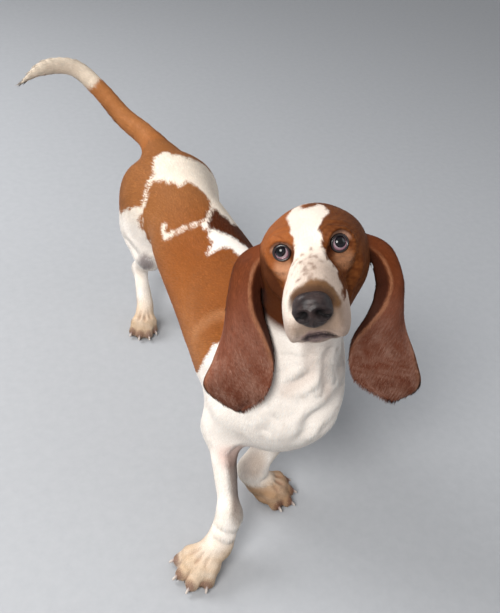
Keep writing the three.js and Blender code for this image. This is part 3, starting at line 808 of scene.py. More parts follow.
def ear_middle(ear, t, w):
    """Middle layer of an ear at shares t down it and w across it, and the way it faces."""
    back, back_down = curve_at(ear["back"], t)
    front, front_down = curve_at(ear["front"], t)
    across = front - back
    width = np.linalg.norm(across, axis=1)
    across = unit(across)
    down = back_down + front_down
    down = unit(down - across * (down * across).sum(1)[:, None])
    out = unit(np.cross(across, down))
    out *= np.sign(out @ np.array(ear["out"]))[:, None]
    inner = listed(ear["curl"], t)
    reach = ear["inner_reach"] * inner
    flat = np.minimum(w / RIM_AT, 1)
    place = back + across * ((width - reach) * flat)[:, None]
    place += out * (listed(ear["bulge"], t) * np.sin(math.pi * flat))[:, None]
    past = np.maximum(w - RIM_AT, 0) / (1 - RIM_AT)
    turning = np.minimum(past * 4, 1) * np.minimum(inner / 8, 1) * INNER_TURN
    place += across * (reach * past)[:, None]
    place -= out * (inner * INNER_DEPTH * past ** INNER_POWER)[:, None]
    facing = out * np.cos(turning)[:, None] + across * np.sin(turning)[:, None]
    return place, unit(facing), down


def ear_surface(ear, around, down):
    """Outer face for around below a half, inner face above it."""
    inner = around > 0.5
    w = np.where(inner, 2 - 2 * around, 2 * around)
    place, facing, _ = ear_middle(ear, down, w)
    half = EAR_HALF_TOP + (EAR_HALF_END - EAR_HALF_TOP) * down
    rounded = np.minimum(from_edges(w) * 14, 1) * np.minimum(from_edges(down) * 26, 1)
    half = half * np.sqrt(np.clip(rounded * (2 - rounded), 0, 1))
    ripple = RIPPLE * np.sin(9 * w + 4 * down) * np.sin(5.0 * down) * np.minimum(down * 3, 1)
    shift = np.where(inner, -half, half) + ripple * np.minimum(from_edges(w) * 5, 1)
    return place + facing * shift[:, None]


def wrapped(name, columns, rows, surface):
    """A closed mesh made from a grid that a function wraps onto a shape."""
    mesh = bmesh.new()
    bmesh.ops.create_grid(mesh, x_segments=columns, y_segments=rows, size=0.5)
    flat = np.array([v.co for v in mesh.verts]) + 0.5
    places = surface(flat[:, 0], flat[:, 1])
    for vertex, place in zip(mesh.verts, places):
        vertex.co = place
    bmesh.ops.remove_doubles(mesh, verts=mesh.verts, dist=1e-5)
    mesh.normal_update()
    bmesh.ops.recalc_face_normals(mesh, faces=mesh.faces)
    return mesh_object(name, mesh)


ear_pieces = []
for name, ear in EARS.items():
    def place(x, y, ear=ear):
        return to_scene(ear_surface(ear, x, y))
    piece = wrapped(name + "_skin", EAR_AROUND, EAR_DOWN, place)
    ear_pieces.append(piece)
    print(name, len(piece.data.polygons), "faces")

# %% [markdown]
# The ears are joined to the body by a Boolean union, and the skin along the join is smoothed,
# as the leather of a real ear grows out of the head. What follows works on one closed skin.

# %% Join the ears to the skin
LAYER_ROWS, LAYER_COLUMNS = 70, 40
EAR_NEAR = 12.0
EAR_SKIN = 4.0
JOIN_WIDE, JOIN_SHARE, JOIN_ROUNDS = 4.0, 0.6, 6


def ear_layer(ear):
    """The middle layer of an ear as a tree of faces, with what is known at their corners."""
    shares = np.meshgrid(np.linspace(0, 1, LAYER_ROWS), np.linspace(0, 1, LAYER_COLUMNS),
                         indexing="ij")
    t, w = (grid.ravel() for grid in shares)
    place, _, down = ear_middle(ear, t, w)
    starts = [r * LAYER_COLUMNS + c for r in range(LAYER_ROWS - 1) for c in range(LAYER_COLUMNS - 1)]
    corners = [(i, i + 1, i + LAYER_COLUMNS + 1, i + LAYER_COLUMNS) for i in starts]
    return {"tree": BVHTree.FromPolygons([Vector(p) for p in place], corners),
            "starts": starts, "t": t, "w": w, "down": down,
            "low": place.min(0) - EAR_NEAR, "high": place.max(0) + EAR_NEAR}


EAR_LAYERS = [ear_layer(ear) for ear in EARS.values()]


def on_ear(points):
    """Distance to an ear's middle layer, share down the ear, share across it and its lie."""
    gap = np.full(len(points), 99.0)
    down, across, lie = np.zeros(len(points)), np.zeros(len(points)), np.zeros((len(points), 3))
    for layer in EAR_LAYERS:
        near = np.all((points > layer["low"]) & (points < layer["high"]), axis=1)
        for i in np.flatnonzero(near):
            _, _, face, distance = layer["tree"].find_nearest(Vector(points[i]), EAR_NEAR)
            if face is not None and distance < gap[i]:
                corner = layer["starts"][face]
                gap[i], down[i], across[i] = distance, layer["t"][corner], layer["w"][corner]
                lie[i] = layer["down"][corner]
    return gap, down, across, lie


for piece in ear_pieces:
    with_modifier(skin, "BOOLEAN", operation="UNION", solver="MANIFOLD", object=piece)
    bpy.data.objects.remove(piece)

places = from_scene(vertices(skin.data))
ear_gap, ear_down, ear_across, ear_lie = on_ear(places)
body_gap = body(places)[0]
pairs = links(skin.data)
at_join = (ear_gap < EAR_SKIN + 3) & (np.abs(body_gap + 1.5) < JOIN_WIDE)
weight = at_join[:, None] * JOIN_SHARE
for _ in range(JOIN_ROUNDS):
    places = places + weight * (averaged(places, pairs) - places)
set_vertices(skin.data, to_scene(places))
print("one skin:", len(skin.data.polygons), "faces,", int(at_join.sum()), "vertices at the joins")

# %% [markdown]
# ## Folds and lids
# Loose skin is what makes a basset. Folds are pressed into the skin along short lines: a fold
# is a groove with a soft roll on each side. The mouth is a groove too, and so are the gaps
# between the toes. Each line is given as places on the head or body, its width and its depth.
# The folds of one side of the head are mirrored to the other.

# %% Folds
def line_gap(points, line):
    """Distance to a bent line and share along it, for each point."""
    best = np.full(len(points), 1e9)
    share = np.zeros(len(points))
    line = np.asarray(line, float)
    for i in range(len(line) - 1):
        span = line[i + 1] - line[i]
        along = np.clip((points - line[i]) @ span / (span @ span), 0, 1)
        gap = np.linalg.norm(points - line[i] - along[:, None] * span, axis=1)
        closer = gap < best
        best = np.where(closer, gap, best)
        share = np.where(closer, (i + along) / (len(line) - 1), share)
    return best, share


def fold(points, line, width, depth, roll=0.5):
    """How far a fold lifts the skin: a groove with rolls beside it, fading at its ends."""
    gap, share = line_gap(points, line)
    fade = np.clip(np.minimum(share, 1 - share) * 5, 0, 1)
    fade = np.where(gap < 4 * width, fade, 0)
    x = gap / width
    return depth * fade * (roll * np.exp(-((x - 1.7) / 0.75) ** 2) - np.exp(-x ** 2))


FACE_FOLDS = [
    ([(22, -8, 13), (30, -8, 17), (40, -6, 16), (50, 0, 9)], 2.4, 1.0),
    ([(20, 4, 23), (31, 3, 27), (44, 6, 24), (53, 12, 15)], 4.5, 0.9),
    ([(21, -16, -10), (30, -19, -17), (42, -14, -20), (53, -4, -14)], 3.6, 1.1),
    ([(17, -24, -10), (27, -30, -24), (36, -34, -42), (40, -36, -60)], 4.6, 1.3),
    ([(54, 2, -14), (50, -4, -30), (43, -14, -54), (37, -20, -80)], 7.5, 3.4),
]
MOUTH = [(-36, -50, -84), (-30, -80, -84), (-18, -97, -78), (-10, -102, -71), (0, -104, -69),
         (10, -102, -70), (18, -97, -75), (28, -84, -82), (35, -52, -84)]
LIP_SPLIT = [(0, -118, -46), (0, -113, -55), (0, -106, -69)]
THROAT_FOLDS = [
    ([(25, -276, 382), (26, -285, 356), (28, -291, 329), (18, -288, 313), (0, -287, 296)], 8, 4.6),
    ([(47, -280, 370), (49, -291, 337), (57, -294, 309), (62, -298, 290)], 9, 3.8),
]
BODY_FOLDS = [
    *THROAT_FOLDS,
    ([(70, -270, 350), (84, -272, 315), (99, -267, 287)], 9, 3.0),
    ([(116, -260, 256), (86, -286, 268), (61, -303, 268), (35, -311, 258), (28, -314, 234),
      (20, -310, 206)], 9.5, 4.6),
    ([(106, -276, 226), (80, -302, 236), (55, -313, 228), (46, -312, 210)], 8, 3.2),
    ([(-8, -293, 262), (-14, -293, 238), (-22, -292, 216)], 10, 2.4),
    ([(-36, -262, 350), (-38, -262, 320), (-42, -252, 290)], 10, 2.6),
    ([(-60, -270, 148), (-48, -264, 152), (-30, -262, 158)], 6.5, 3.0),
    ([(-84, -322, 66), (-72, -334, 64), (-58, -334, 60)], 5, 1.6),
    ([(-88, -326, 54), (-78, -342, 50), (-62, -342, 48)], 5, 1.5),
    ([(4, -262, 60), (18, -262, 58), (30, -250, 56)], 5, 1.6),
    ([(-92, 262, 190), (-86, 236, 176), (-78, 214, 160)], 9, 2.2),
    ([(80, 262, 190), (76, 240, 176), (68, 224, 160)], 9, 2.2),
]
TOE_GAP_LIFTS = (14, 8, 2)
TOE_GAPS = []
for paw in PAWS.values():
    made = toes(paw)
    for first, second in zip(made, made[1:]):
        line = [(first[i] + second[i]) / 2 + [0, 0, lift] for i, lift in enumerate(TOE_GAP_LIFTS)]
        TOE_GAPS.append((line, 3.4, 2.4))


def laid(line):
    """A smooth line through the given places that lies on the skin."""
    return settle(curve_at(line, np.linspace(0, 1, 16))[0], 2.0, 6, 20.0)


places = from_scene(vertices(skin.data))
local = in_head(places)
lift = np.zeros(len(places))
for side in (-1, 1):
    for line, width, depth in FACE_FOLDS:
        line = [(side * x, y, z) for x, y, z in line]
        lift += fold(places, laid(on_head(line)), width, depth)
lift += fold(local, MOUTH, 2.4, 4.0, 0.4) + fold(local, LIP_SPLIT, 1.6, 2.0, 0.4)
for line, width, depth in BODY_FOLDS:
    lift += fold(places, laid(line), width, depth)
for line, width, depth in TOE_GAPS:
    lift += fold(places, line, width, depth)
lift *= (ear_gap > EAR_SKIN + 2) | (body_gap < -1.5)
slope = body(places)[1]
places += unit(slope) * lift[:, None]
print("folds:", round(float(lift.min()), 2), "to", round(float(lift.max()), 2), "mm")

# %% [markdown]
# The lids are the thin shell over each eyeball, and the eye shows through an oval in it. The
# oval is a little flatter toward the nose. Round it the skin is drawn back along the eye's own
# axis until it lies on the shell, and less and less so further out, where it meets the brow.
# Skin inside the oval is pushed back behind the eyeball, and a black moist rim will cover the
# edge. Last the skin round the lids is smoothed, so that it runs into the face without a crease.

# %% Openings of the eyes
OPENING = {
    "right": {"sign": -1, "axis": (0.05, -0.985, 0.12), "gaze": (-0.18, -0.914, 0.364),
              "wide": 9.7, "high": 8.9, "inner": math.pi},
    "left": {"sign": 1, "axis": (0.34, -0.905, 0.23), "gaze": (0.425, -0.833, 0.356),
             "wide": 10.5, "high": 9.7, "inner": 0},
}
CORNER_REACH, CORNER_WIDTH, CORNER_DROP = -0.13, 0.9, 0.15
for opening in OPENING.values():
    opening["middle"] = np.array([opening["sign"] * EYE_ACROSS, EYE_BACK, EYE_HEIGHT], float)
    opening["axis"] = unit(np.array(opening["axis"], float))
    opening["right"] = unit(np.cross(opening["axis"], [0, 0, 1]))
    opening["up"] = np.cross(opening["right"], opening["axis"])


def edge_of(opening, angle):
    """Distance from the middle to the edge of the eye's opening, less on the side of the nose."""
    edge = 1 / np.hypot(np.cos(angle) / opening["wide"], np.sin(angle) / opening["high"])
    turn = CORNER_DROP * opening["sign"]
    off = (angle - opening["inner"] - turn + math.pi) % (2 * math.pi) - math.pi
    return edge * (1 + CORNER_REACH * np.exp(-(off / CORNER_WIDTH) ** 2))


def across_opening(opening, local):
    """How far points lie to the right of an eye, above it and ahead of it along its axis."""
    off = local - opening["middle"]
    return tuple(off @ opening[way] for way in ("right", "up", "axis"))


def from_opening(opening, local):
    """Distance off an eye's axis as a share of the opening's edge, and distance from the eye."""
    x, y, ahead_by = across_opening(opening, local)
    share = np.hypot(x, y) / edge_of(opening, np.arctan2(y, x))
    return np.where(ahead_by > -2, share, 9.0), np.linalg.norm(local - opening["middle"], axis=1)


# %% [markdown]
# Both heights are measured along the axis: that of the lid's shell, and that of a smaller ball,
# the socket, into which the skin inside the oval goes.

# %% Draw back the lids
LID_SUNK, SOCKET_SUNK = 0.3, 3.5
LID_FROM, LID_ENDS, EYE_REACH = 1.15, 1.9, 45
HOLE_AT, HOLE_FADE = 1.06, 0.12
SMOOTH_TO, SMOOTH_REACH, SMOOTH_ROUNDS = 2.3, 40, 10

local = in_head(places)
for opening in OPENING.values():
    inside, radius = from_opening(opening, local)
    ahead_by = across_opening(opening, local)[2]
    off_axis = np.sqrt(np.maximum(radius ** 2 - ahead_by ** 2, 0))
    lid = np.sqrt(np.maximum((LID_RADIUS - LID_SUNK) ** 2 - off_axis ** 2, 30))
    socket = np.sqrt(np.maximum((EYE_RADIUS - SOCKET_SUNK) ** 2 - off_axis ** 2, 0))
    hug = np.clip((LID_ENDS - inside) / (LID_ENDS - LID_FROM), 0, 1) * (radius < EYE_REACH)
    hug = hug ** 2 * (3 - 2 * hug)
    change = np.minimum(lid - ahead_by, 0) * hug
    hole = np.clip((HOLE_AT - inside) / HOLE_FADE, 0, 1) * (radius < EYE_REACH)
    change += (socket - ahead_by - change) * hole
    local += opening["axis"] * change[:, None]
places = on_head(local)
places[:, 2] = np.maximum(places[:, 2], 0)
set_vertices(skin.data, to_scene(places))

around_lids = np.zeros(len(local), bool)
for opening in OPENING.values():
    inside, radius = from_opening(opening, local)
    around_lids |= (inside > LID_FROM) & (inside < SMOOTH_TO) & (radius < SMOOTH_REACH)
smoothed = bmesh.new()
smoothed.from_mesh(skin.data)
smoothed.verts.ensure_lookup_table()
chosen = [smoothed.verts[i] for i in np.nonzero(around_lids)[0]]
for _ in range(SMOOTH_ROUNDS):
    bmesh.ops.smooth_vert(smoothed, verts=chosen, factor=0.5,
                          use_axis_x=True, use_axis_y=True, use_axis_z=True)
smoothed.to_mesh(skin.data)
smoothed.free()
skin.data.shade_smooth()
places = from_scene(vertices(skin.data))
print("lids:", len(chosen), "vertices smoothed")

# %% [markdown]
# ## Markings
# The coat is white with tan and brown patches. `markings` gives the colour of the coat at any
# place on the hound, and the skin and every tuft ask it, so they always agree. A patch is an
# outline or a streak, and `soft` turns the distance inside it into a share of paint. `layered`
# lays such shares of paint over each other, and a few waves make the edges ragged.

# %% Outlines, streaks and soft edges
WAVES, WAVE_SCALE = 5, 3.2


def waves(points, length, seed):
    """Smooth pseudo-random waves of about the given length in mm, between -1 and 1."""
    draw = np.random.default_rng(seed)
    total = np.zeros(len(points))
    for _ in range(WAVES):
        way = draw.normal(size=3)
        way *= 2 * math.pi / length / np.linalg.norm(way) * draw.uniform(0.6, 1.6)
        total += np.sin(points @ way + draw.uniform(0, 2 * math.pi))
    return total / WAVE_SCALE


def outline_gap(x, y, outline):
    """Distance inside a closed outline, less than zero outside it."""
    outline = np.asarray(outline, float)
    best = np.full(len(x), 1e9)
    inside = np.zeros(len(x), bool)
    for (x0, y0), (x1, y1) in zip(outline, np.roll(outline, -1, axis=0)):
        dx, dy = x1 - x0, y1 - y0
        along = np.clip(((x - x0) * dx + (y - y0) * dy) / (dx * dx + dy * dy), 0, 1)
        best = np.minimum(best, np.hypot(x - x0 - along * dx, y - y0 - along * dy))
        crossing = ((y0 > y) != (y1 > y)) & (x < dx * (y - y0) / (dy if dy else TINY) + x0)
        inside ^= crossing
    return np.where(inside, best, -best)


def streak_gap(x, y, line, half):
    """Distance inside a band of the given half width along a bent line seen from above."""
    flat = np.column_stack([x, y, np.zeros(len(x))])
    line = [(*p, 0) for p in line]
    return half - line_gap(flat, line)[0]


def soft(x, width):
    """0 below -width, 1 above +width and smooth between."""
    t = np.clip(x / width * 0.5 + 0.5, 0, 1)
    return t * t * (3 - 2 * t)


def layered(base, *coats):
    """Paint laid over a base in the given order; each coat is a share and a colour."""
    for share, tint in coats:
        base = base + (np.asarray(tint) - base) * np.clip(share, 0, 1)[:, None]
    return base


def ball_gap(points, at, radii=1.0):
    """Distance from a place, as a share of the radii of a ball round it."""
    return np.linalg.norm((points - at) / radii, axis=1)


# %% [markdown]
# The trunk's outlines were traced along the back, seen from above, and on the thigh, seen from
# the side. The border of the belly is a height at places along the flank. The far side can't be
# seen, so its patches are a guess.

# %% White of the trunk
SADDLE = [(-53, 215), (-47, 244), (-42, 270), (-18, 281), (-7, 261), (26, 248), (60, 262), (130, 250),
          (130, 90), (70, 60), (36, 52), (17, 97), (19, 132), (11, 168), (-2, 183), (-18, 174),
          (-27, 187), (-39, 202)]
NECK_PATCH = [(-14, 24), (-12, 36), (-7, 33), (9, 12), (24, 0), (34, -25), (38, -70), (4, -70),
              (6, -33), (-5, -24), (-31, -26), (-17, -8)]
ZIGZAG = [(14, 88), (-3, 62), (-11, 54), (-27, 58), (-44, 67), (-59, 77), (-64, 101), (-61, 114)]
ZIGZAG_DOT = (-57, 88)
ZIGZAG_HALF, DOT_RADIUS, LINE_HALF = 3.0, 4.5, 3.4
THIN_LINE = [(-53, 222), (-66, 216), (-73, 206)]
LINK = [(-11, 54), (-13, 42), (-12, 30)]
FLANK_BORDER_Y = (-330, -187, -176, -150, -60, 0, 86, 150, 194)
FLANK_BORDER_Z = (300, 300, 250, 201, 206, 214, 226, 222, 214)
THIGH_WHITE = [(420, 196), (330, 214), (300, 224), (267, 235), (240, 262), (216, 276),
               (203, 277), (211, 254), (207, 225), (203, 199), (190, 180), (150, 0), (420, 0)]
BELLY_BEHIND, BELLY_HEIGHT = 200, 178


def trunk_white(p):
    """How far places lie inside the white of the trunk, neck and legs."""
    x, y, z = p.T
    ragged = 2.2 * waves(p, 26, 3) + 1.6 * waves(p, 9, 4)
    white = np.maximum(outline_gap(x, y, SADDLE), outline_gap(x, y, NECK_PATCH))
    white = np.maximum(white, streak_gap(x, y, ZIGZAG, ZIGZAG_HALF))
    white = np.minimum(white, np.hypot(x - ZIGZAG_DOT[0], y - ZIGZAG_DOT[1]) - DOT_RADIUS)
    for line in (THIN_LINE, LINK):
        white = np.maximum(white, streak_gap(x, y, line, LINE_HALF))
    on_top = np.minimum(z - 205, 60)
    white = np.minimum(white, on_top) + ragged
    border = np.interp(y, FLANK_BORDER_Y, FLANK_BORDER_Z)
    belly = border - z + 6 * waves(p, 60, 5) + ragged
    belly = np.where(y > BELLY_BEHIND, BELLY_HEIGHT - z + ragged, belly)
    throat = -187 - 0.1 * (z - 300) - y + 5 * waves(p, 40, 6) + ragged
    thigh = outline_gap(y, z, THIGH_WHITE) + ragged
    return np.maximum(np.maximum(white, np.maximum(belly, throat)), thigh)


# %% [markdown]
# Tan runs from light on the shoulder to dark brown over the middle of the back. White is stained
# cream near the rump and feet and pink in the armpit, with a grey patch on the hock. Painted shade
# darkens the inner side of the right foreleg, the front of the left one and the folds of the throat.

# %% Colours of the trunk
TAN, BROWN, DARK = colour("96592a"), colour("743d15"), colour("431b05")
SHOULDER, RUMP, STREAK = colour("a1673a"), colour("9c7048"), colour("c8946a")
WHITE, CREAM = colour("f3ece4"), colour("d9c3a4")
# The last colour on the next line is painted shade for the inner side of the right foreleg.
GREY, PINK, INNER_LEG_SHADE = colour("665a5e"), colour("c9978a"), colour("5f4c44")
# Both colours on the next line are painted shade: the left foreleg's front and the throat's folds.
FAR_LEG_SHADE, THROAT_FOLD_SHADE = colour("8f7a6e"), colour("b59a8a")
DARK_PATCH = [(-10, 56), (-4, 70), (10, 86), (34, 100), (52, 72), (60, 10), (52, -60), (36, -70),
              (20, -12), (4, 2), (-10, 28)]
FLANK_STREAK = [(-48, -168, 345), (-58, -150, 322), (-70, -138, 300), (-80, -128, 272)]
HOCK_GREY_AT = (-68, 203, 160)
ARMPIT, ARMPIT_RADII = (-52, -266, 148), (24, 30, 14)
# Where the painted shade lies on the front of the left foreleg, between the forelegs.
FAR_LEG_SHADE_AT, FAR_LEG_SHADE_RADII = (-6, -248, 90), (22, 20, 26)
throat_lines = [laid(line) for line, _, _ in THROAT_FOLDS]


def inner_leg(p):
    """Share of the painted shade on the inner side of the right foreleg, below the elbow."""
    x, y, z = p.T
    down = (163 - z) / 87
    inner = (x + 56 + 10 * down) * 0.9 - (y + 218 + 98 * down) * 0.44
    inner = soft(inner - 9.5, 5) * soft(148 - z, 10) * soft(z - 86, 14) * soft(-x - 15, 6)
    return inner * soft(-y - 200, 20)


def trunk_colour(p):
    x, y, z = p.T
    dark = outline_gap(x, y, DARK_PATCH) + 3 * waves(p, 20, 9)
    base = layered(
        TAN,
        (soft(z - 300, 60) * 0.6, BROWN),
        (soft(-y - 60, 60) * soft(300 - z, 60), SHOULDER),
        (soft(waves(p, 120, 8), 1) * 0.35, BROWN),
        (soft(y - 90, 80) * soft(z - 200, 60) * 0.35, RUMP),
        (soft(9 - line_gap(p, FLANK_STREAK)[0], 8) * 0.25, STREAK),
        (soft(dark, 8) * soft(z - 250, 30) * 0.95, DARK))
    hock = ball_gap(p, HOCK_GREY_AT) + 4 * waves(p, 30, 12)
    throat = np.minimum(*[line_gap(p, line)[0] for line in throat_lines])
    white = layered(
        WHITE,
        (soft(z - 240, 40) * soft(y - 40, 60) * 0.45, CREAM),
        (soft(110 - z, 40) * soft(waves(p, 40, 11) - 0.1, 0.6) * 0.25, CREAM),
        (soft(17 - hock, 9) * 0.8, GREY),
        (soft(1 - ball_gap(p, ARMPIT, ARMPIT_RADII), 0.5) * 0.5, PINK),
        # painted shade on the right foreleg's inner side, the left foreleg's front and in the throat's
        # folds
        (inner_leg(p) * 0.8, INNER_LEG_SHADE),
        (soft(1 - ball_gap(p, FAR_LEG_SHADE_AT, FAR_LEG_SHADE_RADII), 0.5) * 0.6, FAR_LEG_SHADE),
        (soft(10 - throat, 9) * 0.35, THROAT_FOLD_SHADE))
    return layered(base, (soft(trunk_white(p), 1.6), white))


# %% [markdown]
# The paws are stained by the ground, most of all round the claws, and painted shade darkens the
# gaps between the toes. The tail is white from its middle on. The ears darken downward, are
# frosted where the hair is worn, and have a pale rim and a dark inner side, partly painted shade.

# %% Feet, tail and ears
NAIL_BED, TOE_STAIN, LEFT_STAIN = colour("5d342c"), colour("b0834f"), colour("8f6238")
# The last two colours on the next line are painted shade in the gaps between the toes.
SAND, TOE_GAP_SHADE, TOE_SHADE = colour("cdb08c"), colour("7a5444"), colour("7a4b38")
TAIL_TAN, TAIL_TIP, TAIL_WHITE_FROM = colour("a9744a"), colour("d8c9b6"), 0.52
EAR_TOP, EAR_MID, EAR_END, FROST = colour("6b361b"), colour("7d4a38"), colour("633524"), colour("a07c6c")
# The first colour on the next line is the ear's inner side: darker leather, darkened further as painted
# shade.
EAR_INSIDE_DARK_AND_SHADE, EAR_RIM = colour("2c120a"), colour("b27c5a")


def paw_colour(p, base):
    height = p[:, 2]
    left_fore = (p[:, 0] > -20) & (p[:, 1] < 0)
    between = np.min([line_gap(p, line)[0] for line, _, _ in TOE_GAPS], axis=0)
    stain = soft(42 - height, 16) * soft(waves(p, 22, 21) + 0.35, 0.8)
    beds = [ball_gap(p, tip + heading * 9 + [0, 0, 4])
            for paw in PAWS.values() for _, _, tip, heading in toes(paw)]
    return layered(
        base,
        (stain * 0.5, TOE_STAIN),
        (soft(52 - height, 16) * 0.6, SAND),
        # painted shade in the grooves between the toes
        (soft(2.4 - between, 1.6) * 0.6, TOE_GAP_SHADE),
        (soft(44 - height, 10) * left_fore * 0.6, LEFT_STAIN),
        *[(soft(10 - bed, 4) * 0.7, NAIL_BED) for bed in beds],
        # painted shade between the toes, near the ground
        (soft(5 - between, 4) * soft(40 - height, 10) * 0.55, TOE_SHADE))


def tail_colour(p):
    share = line_gap(p, tail_places)[1]
    white = share - TAIL_WHITE_FROM + 0.012 * waves(p, 14, 31) + 0.01 * waves(p, 5, 32)
    tan = soft(share - 0.1, 0.1) * 0.5
    return layered(TAN, (tan, TAIL_TAN), (soft(white, 0.012), TAIL_TIP)), share


def ear_colour(p, down, across):
    frost = soft(waves(p * [1, 1, 0.3], 3.5, 41) * 0.8 + 0.4 * waves(p, 34, 42) - 0.25, 0.9)
    frost = frost * soft(down - 0.5, 0.2) * soft(0.97 - down, 0.05)
    inside = soft(across - RIM_AT - 0.06, 0.04) * soft(0.75 - down, 0.1)
    rim = soft(0.03 - np.abs(across - RIM_AT), 0.03) * soft(0.7 - down, 0.1)
    rim = rim + 0.4 * soft(0.03 - across, 0.02)
    return layered(
        EAR_TOP,
        (soft(down - 0.35, 0.2), EAR_MID),
        (soft(down - 0.72, 0.2), EAR_END),
        (frost * 0.7, FROST),
        # darker leather and painted shade on the turned-back inner side
        (inside * 0.8, EAR_INSIDE_DARK_AND_SHADE),
        (rim * 0.6 * soft(down - 0.12, 0.08), EAR_RIM))


# %% [markdown]
# The blaze is a white stripe between the eyes that widens over the muzzle. Its two borders are
# given as how far they lie to each side at places from the skull to the nose. The freckles
# are small discs at random places on the muzzle, closer together near the nose.

# %% The blaze and the freckles
SEED = 7
BLAZE_Y = (-90, -64, -47, -31, -19, -10, 5, 37, 52, 70, 86)
BLAZE_RIGHT = (60, 33, 27, 20, 15, 17, 20, 25, 23, 17, 8)
BLAZE_LEFT_Y = (-90, -84, -66, -37, -22, -16, -5, 13, 39, 60, 78)
BLAZE_LEFT = (42, 35, 34, 30, 20, 16, 15, 20, 29, 20, 8)
BLAZE_LEFT_Z, BLAZE_LEFT_SIDE = (-27, -17, -8, -3, 7, 15, 28), (60, 32, 25, 21, 18, 17, 17)
CHEEK_DOWN, CHEEK_EDGE = (0, 10, 25, 40, 60, 90), (56, 54, 48, 43, 38, 34)
MIDDLE_DOT, DOT_RADII = (2, 66), (11, 14)
FRECKLES, LIP_FRECKLES = 46, 60
freckle_draw = np.random.default_rng(SEED)
freckles = np.column_stack([
    freckle_draw.normal(3, 12, FRECKLES),
    -16 - 76 * freckle_draw.beta(1.6, 1.3, FRECKLES),
    freckle_draw.uniform(0.9, 3.2, FRECKLES),
    freckle_draw.uniform(0.15, 0.55, FRECKLES),
])
lip_freckles = np.column_stack([
    freckle_draw.choice((-1, 1), LIP_FRECKLES) * freckle_draw.uniform(8, 36, LIP_FRECKLES),
    freckle_draw.uniform(-112, -40, LIP_FRECKLES),
    freckle_draw.uniform(-84, -36, LIP_FRECKLES),
    freckle_draw.uniform(0.8, 1.8, LIP_FRECKLES),
    freckle_draw.uniform(0.2, 0.6, LIP_FRECKLES),
])


def face_white(local, clear, ragged):
    """How far places lie inside the white of the face; clear is the distance off the eyes."""
    x, y, z = local.T
    left = np.interp(y, BLAZE_LEFT_Y, BLAZE_LEFT)
    left = np.where(y < -5, np.minimum(left, np.interp(z, BLAZE_LEFT_Z, BLAZE_LEFT_SIDE)), left)
    right = np.interp(y, BLAZE_Y, BLAZE_RIGHT)
    blaze = np.minimum(np.minimum(left - x, x + right), np.minimum(82 - y, clear))
    dot = np.hypot((x - MIDDLE_DOT[0]) / DOT_RADII[0], (y - MIDDLE_DOT[1]) / DOT_RADII[1])
    blaze = np.minimum(blaze, DOT_RADII[0] * (dot - 1))
    blaze = np.where(y < -88, 20, blaze)
    lips = np.minimum(-34 - y + 0.35 * z + 18, 30)
    blaze = np.where(z < -42, np.maximum(blaze, lips), blaze)
    chin = np.minimum(-66 - z - 0.25 * y, 22 - np.abs(x))
    return np.maximum(blaze, chin) + ragged


print("freckles:", FRECKLES + LIP_FRECKLES)

# %% [markdown]
# Brown is darker on the left of the face and lower down. Round each eye the lid is paler, and
# painted shade darkens the inner corner. Painted shade also darkens the side of the right cheek.
# The blaze stops a little before the eyes.

# %% Brown of the face
FACE_TAN, FACE_BROWN, FACE_LIGHT = colour("8e5029"), colour("4d250d"), colour("b4713c")
# The last colour on the next line is painted shade for the inner corners of the eyes.
LID_PALE, UNDER_EYE, EYE_CORNER_SHADE = colour("c09680"), colour("c09272"), colour("3c1a10")
# Painted shade for the side of the right cheek, toward the ear.
CHEEK_SHADE = colour("42200f")
OFF_LIDS = {"right": 5.0, "left": 8.5}
UNDER_SHARE = {"right": 0.6, "left": 0.35}


def around_eyes(local, tint):
    """Paints round both eyes, with painted shade in the inner corners; also tells how far places lie off
    the openings.
    """
    clear = np.full(len(local), 99.0)
    for side, opening in OPENING.items():
        x, y, ahead_by = across_opening(opening, local)
        outward = x * opening["sign"]
        in_front = soft(ahead_by + 2, 4)
        past_edge = np.hypot(x, y) - edge_of(opening, np.arctan2(y, x))
        clear = np.minimum(clear, past_edge - OFF_LIDS[side] + 60 * (1 - in_front))
        lid = soft(5.6 - past_edge, 1.4) * soft(y - 2, 4)
        below = soft(1.1 - np.hypot(outward / 11, (y + 19) / 11), 0.5)
        inner = soft(1.0 - np.hypot((outward - 13) / 6, (y + 5) / 10), 0.5)
        tint = layered(tint, (lid * in_front * 0.75, LID_PALE),
                       (below * in_front * UNDER_SHARE[side], UNDER_EYE),
                       # painted shade in the inner corner
                       (inner * in_front * 0.6, EYE_CORNER_SHADE))
    return tint, clear


def face_brown(p, local):
    x, y, z = local.T
    tint, clear = around_eyes(local, layered(
        FACE_TAN,
        (soft(x + 2, 14) * 0.9, FACE_BROWN),
        (soft(-z - 18, 18) * 0.6, FACE_BROWN),
        (soft(waves(p, 8, 53), 1.0) * 0.2, FACE_LIGHT)))
    jowl = -x - np.interp(-z, CHEEK_DOWN, CHEEK_EDGE)
    # painted shade on the side of the right cheek
    cheek = soft(jowl, 3) * soft(-2 - z, 8) * soft(y + 44, 6)
    return layered(tint, (cheek * 0.85, CHEEK_SHADE)), clear


# %% [markdown]
# The muzzle is greyer below, with painted shade on its left, freckled, and smudged from the nose
# toward the left. The lips are grey and mottled, and the line of the mouth is nearly black.

# %% Muzzle, nose side and lips
NOSE_AT = np.array([1.0, -104.5, -35.6])
NOSE_RADII = np.array([22.5, 15.6, 21.2])
MUZZLE, MUZZLE_SHADE, LOW_MUZZLE = colour("e9dccf"), colour("bfa999"), colour("b59e90")
UNDER_NOSE, NOSE_EDGE = colour("84705f"), colour("33231e")
SMUDGE, FRECKLE, LIP, MOUTH_LINE = colour("74502f"), colour("76594a"), colour("66555a"), colour("1d1519")
SMUDGE_LINE = [(-6, -105, -12), (6, -100, -9), (15, -97, -12), (26, -95, -23), (29, -96, -33)]
LIPS_AT, LIPS_RADII = (0, -101, -73), (19, 16, 8.5)


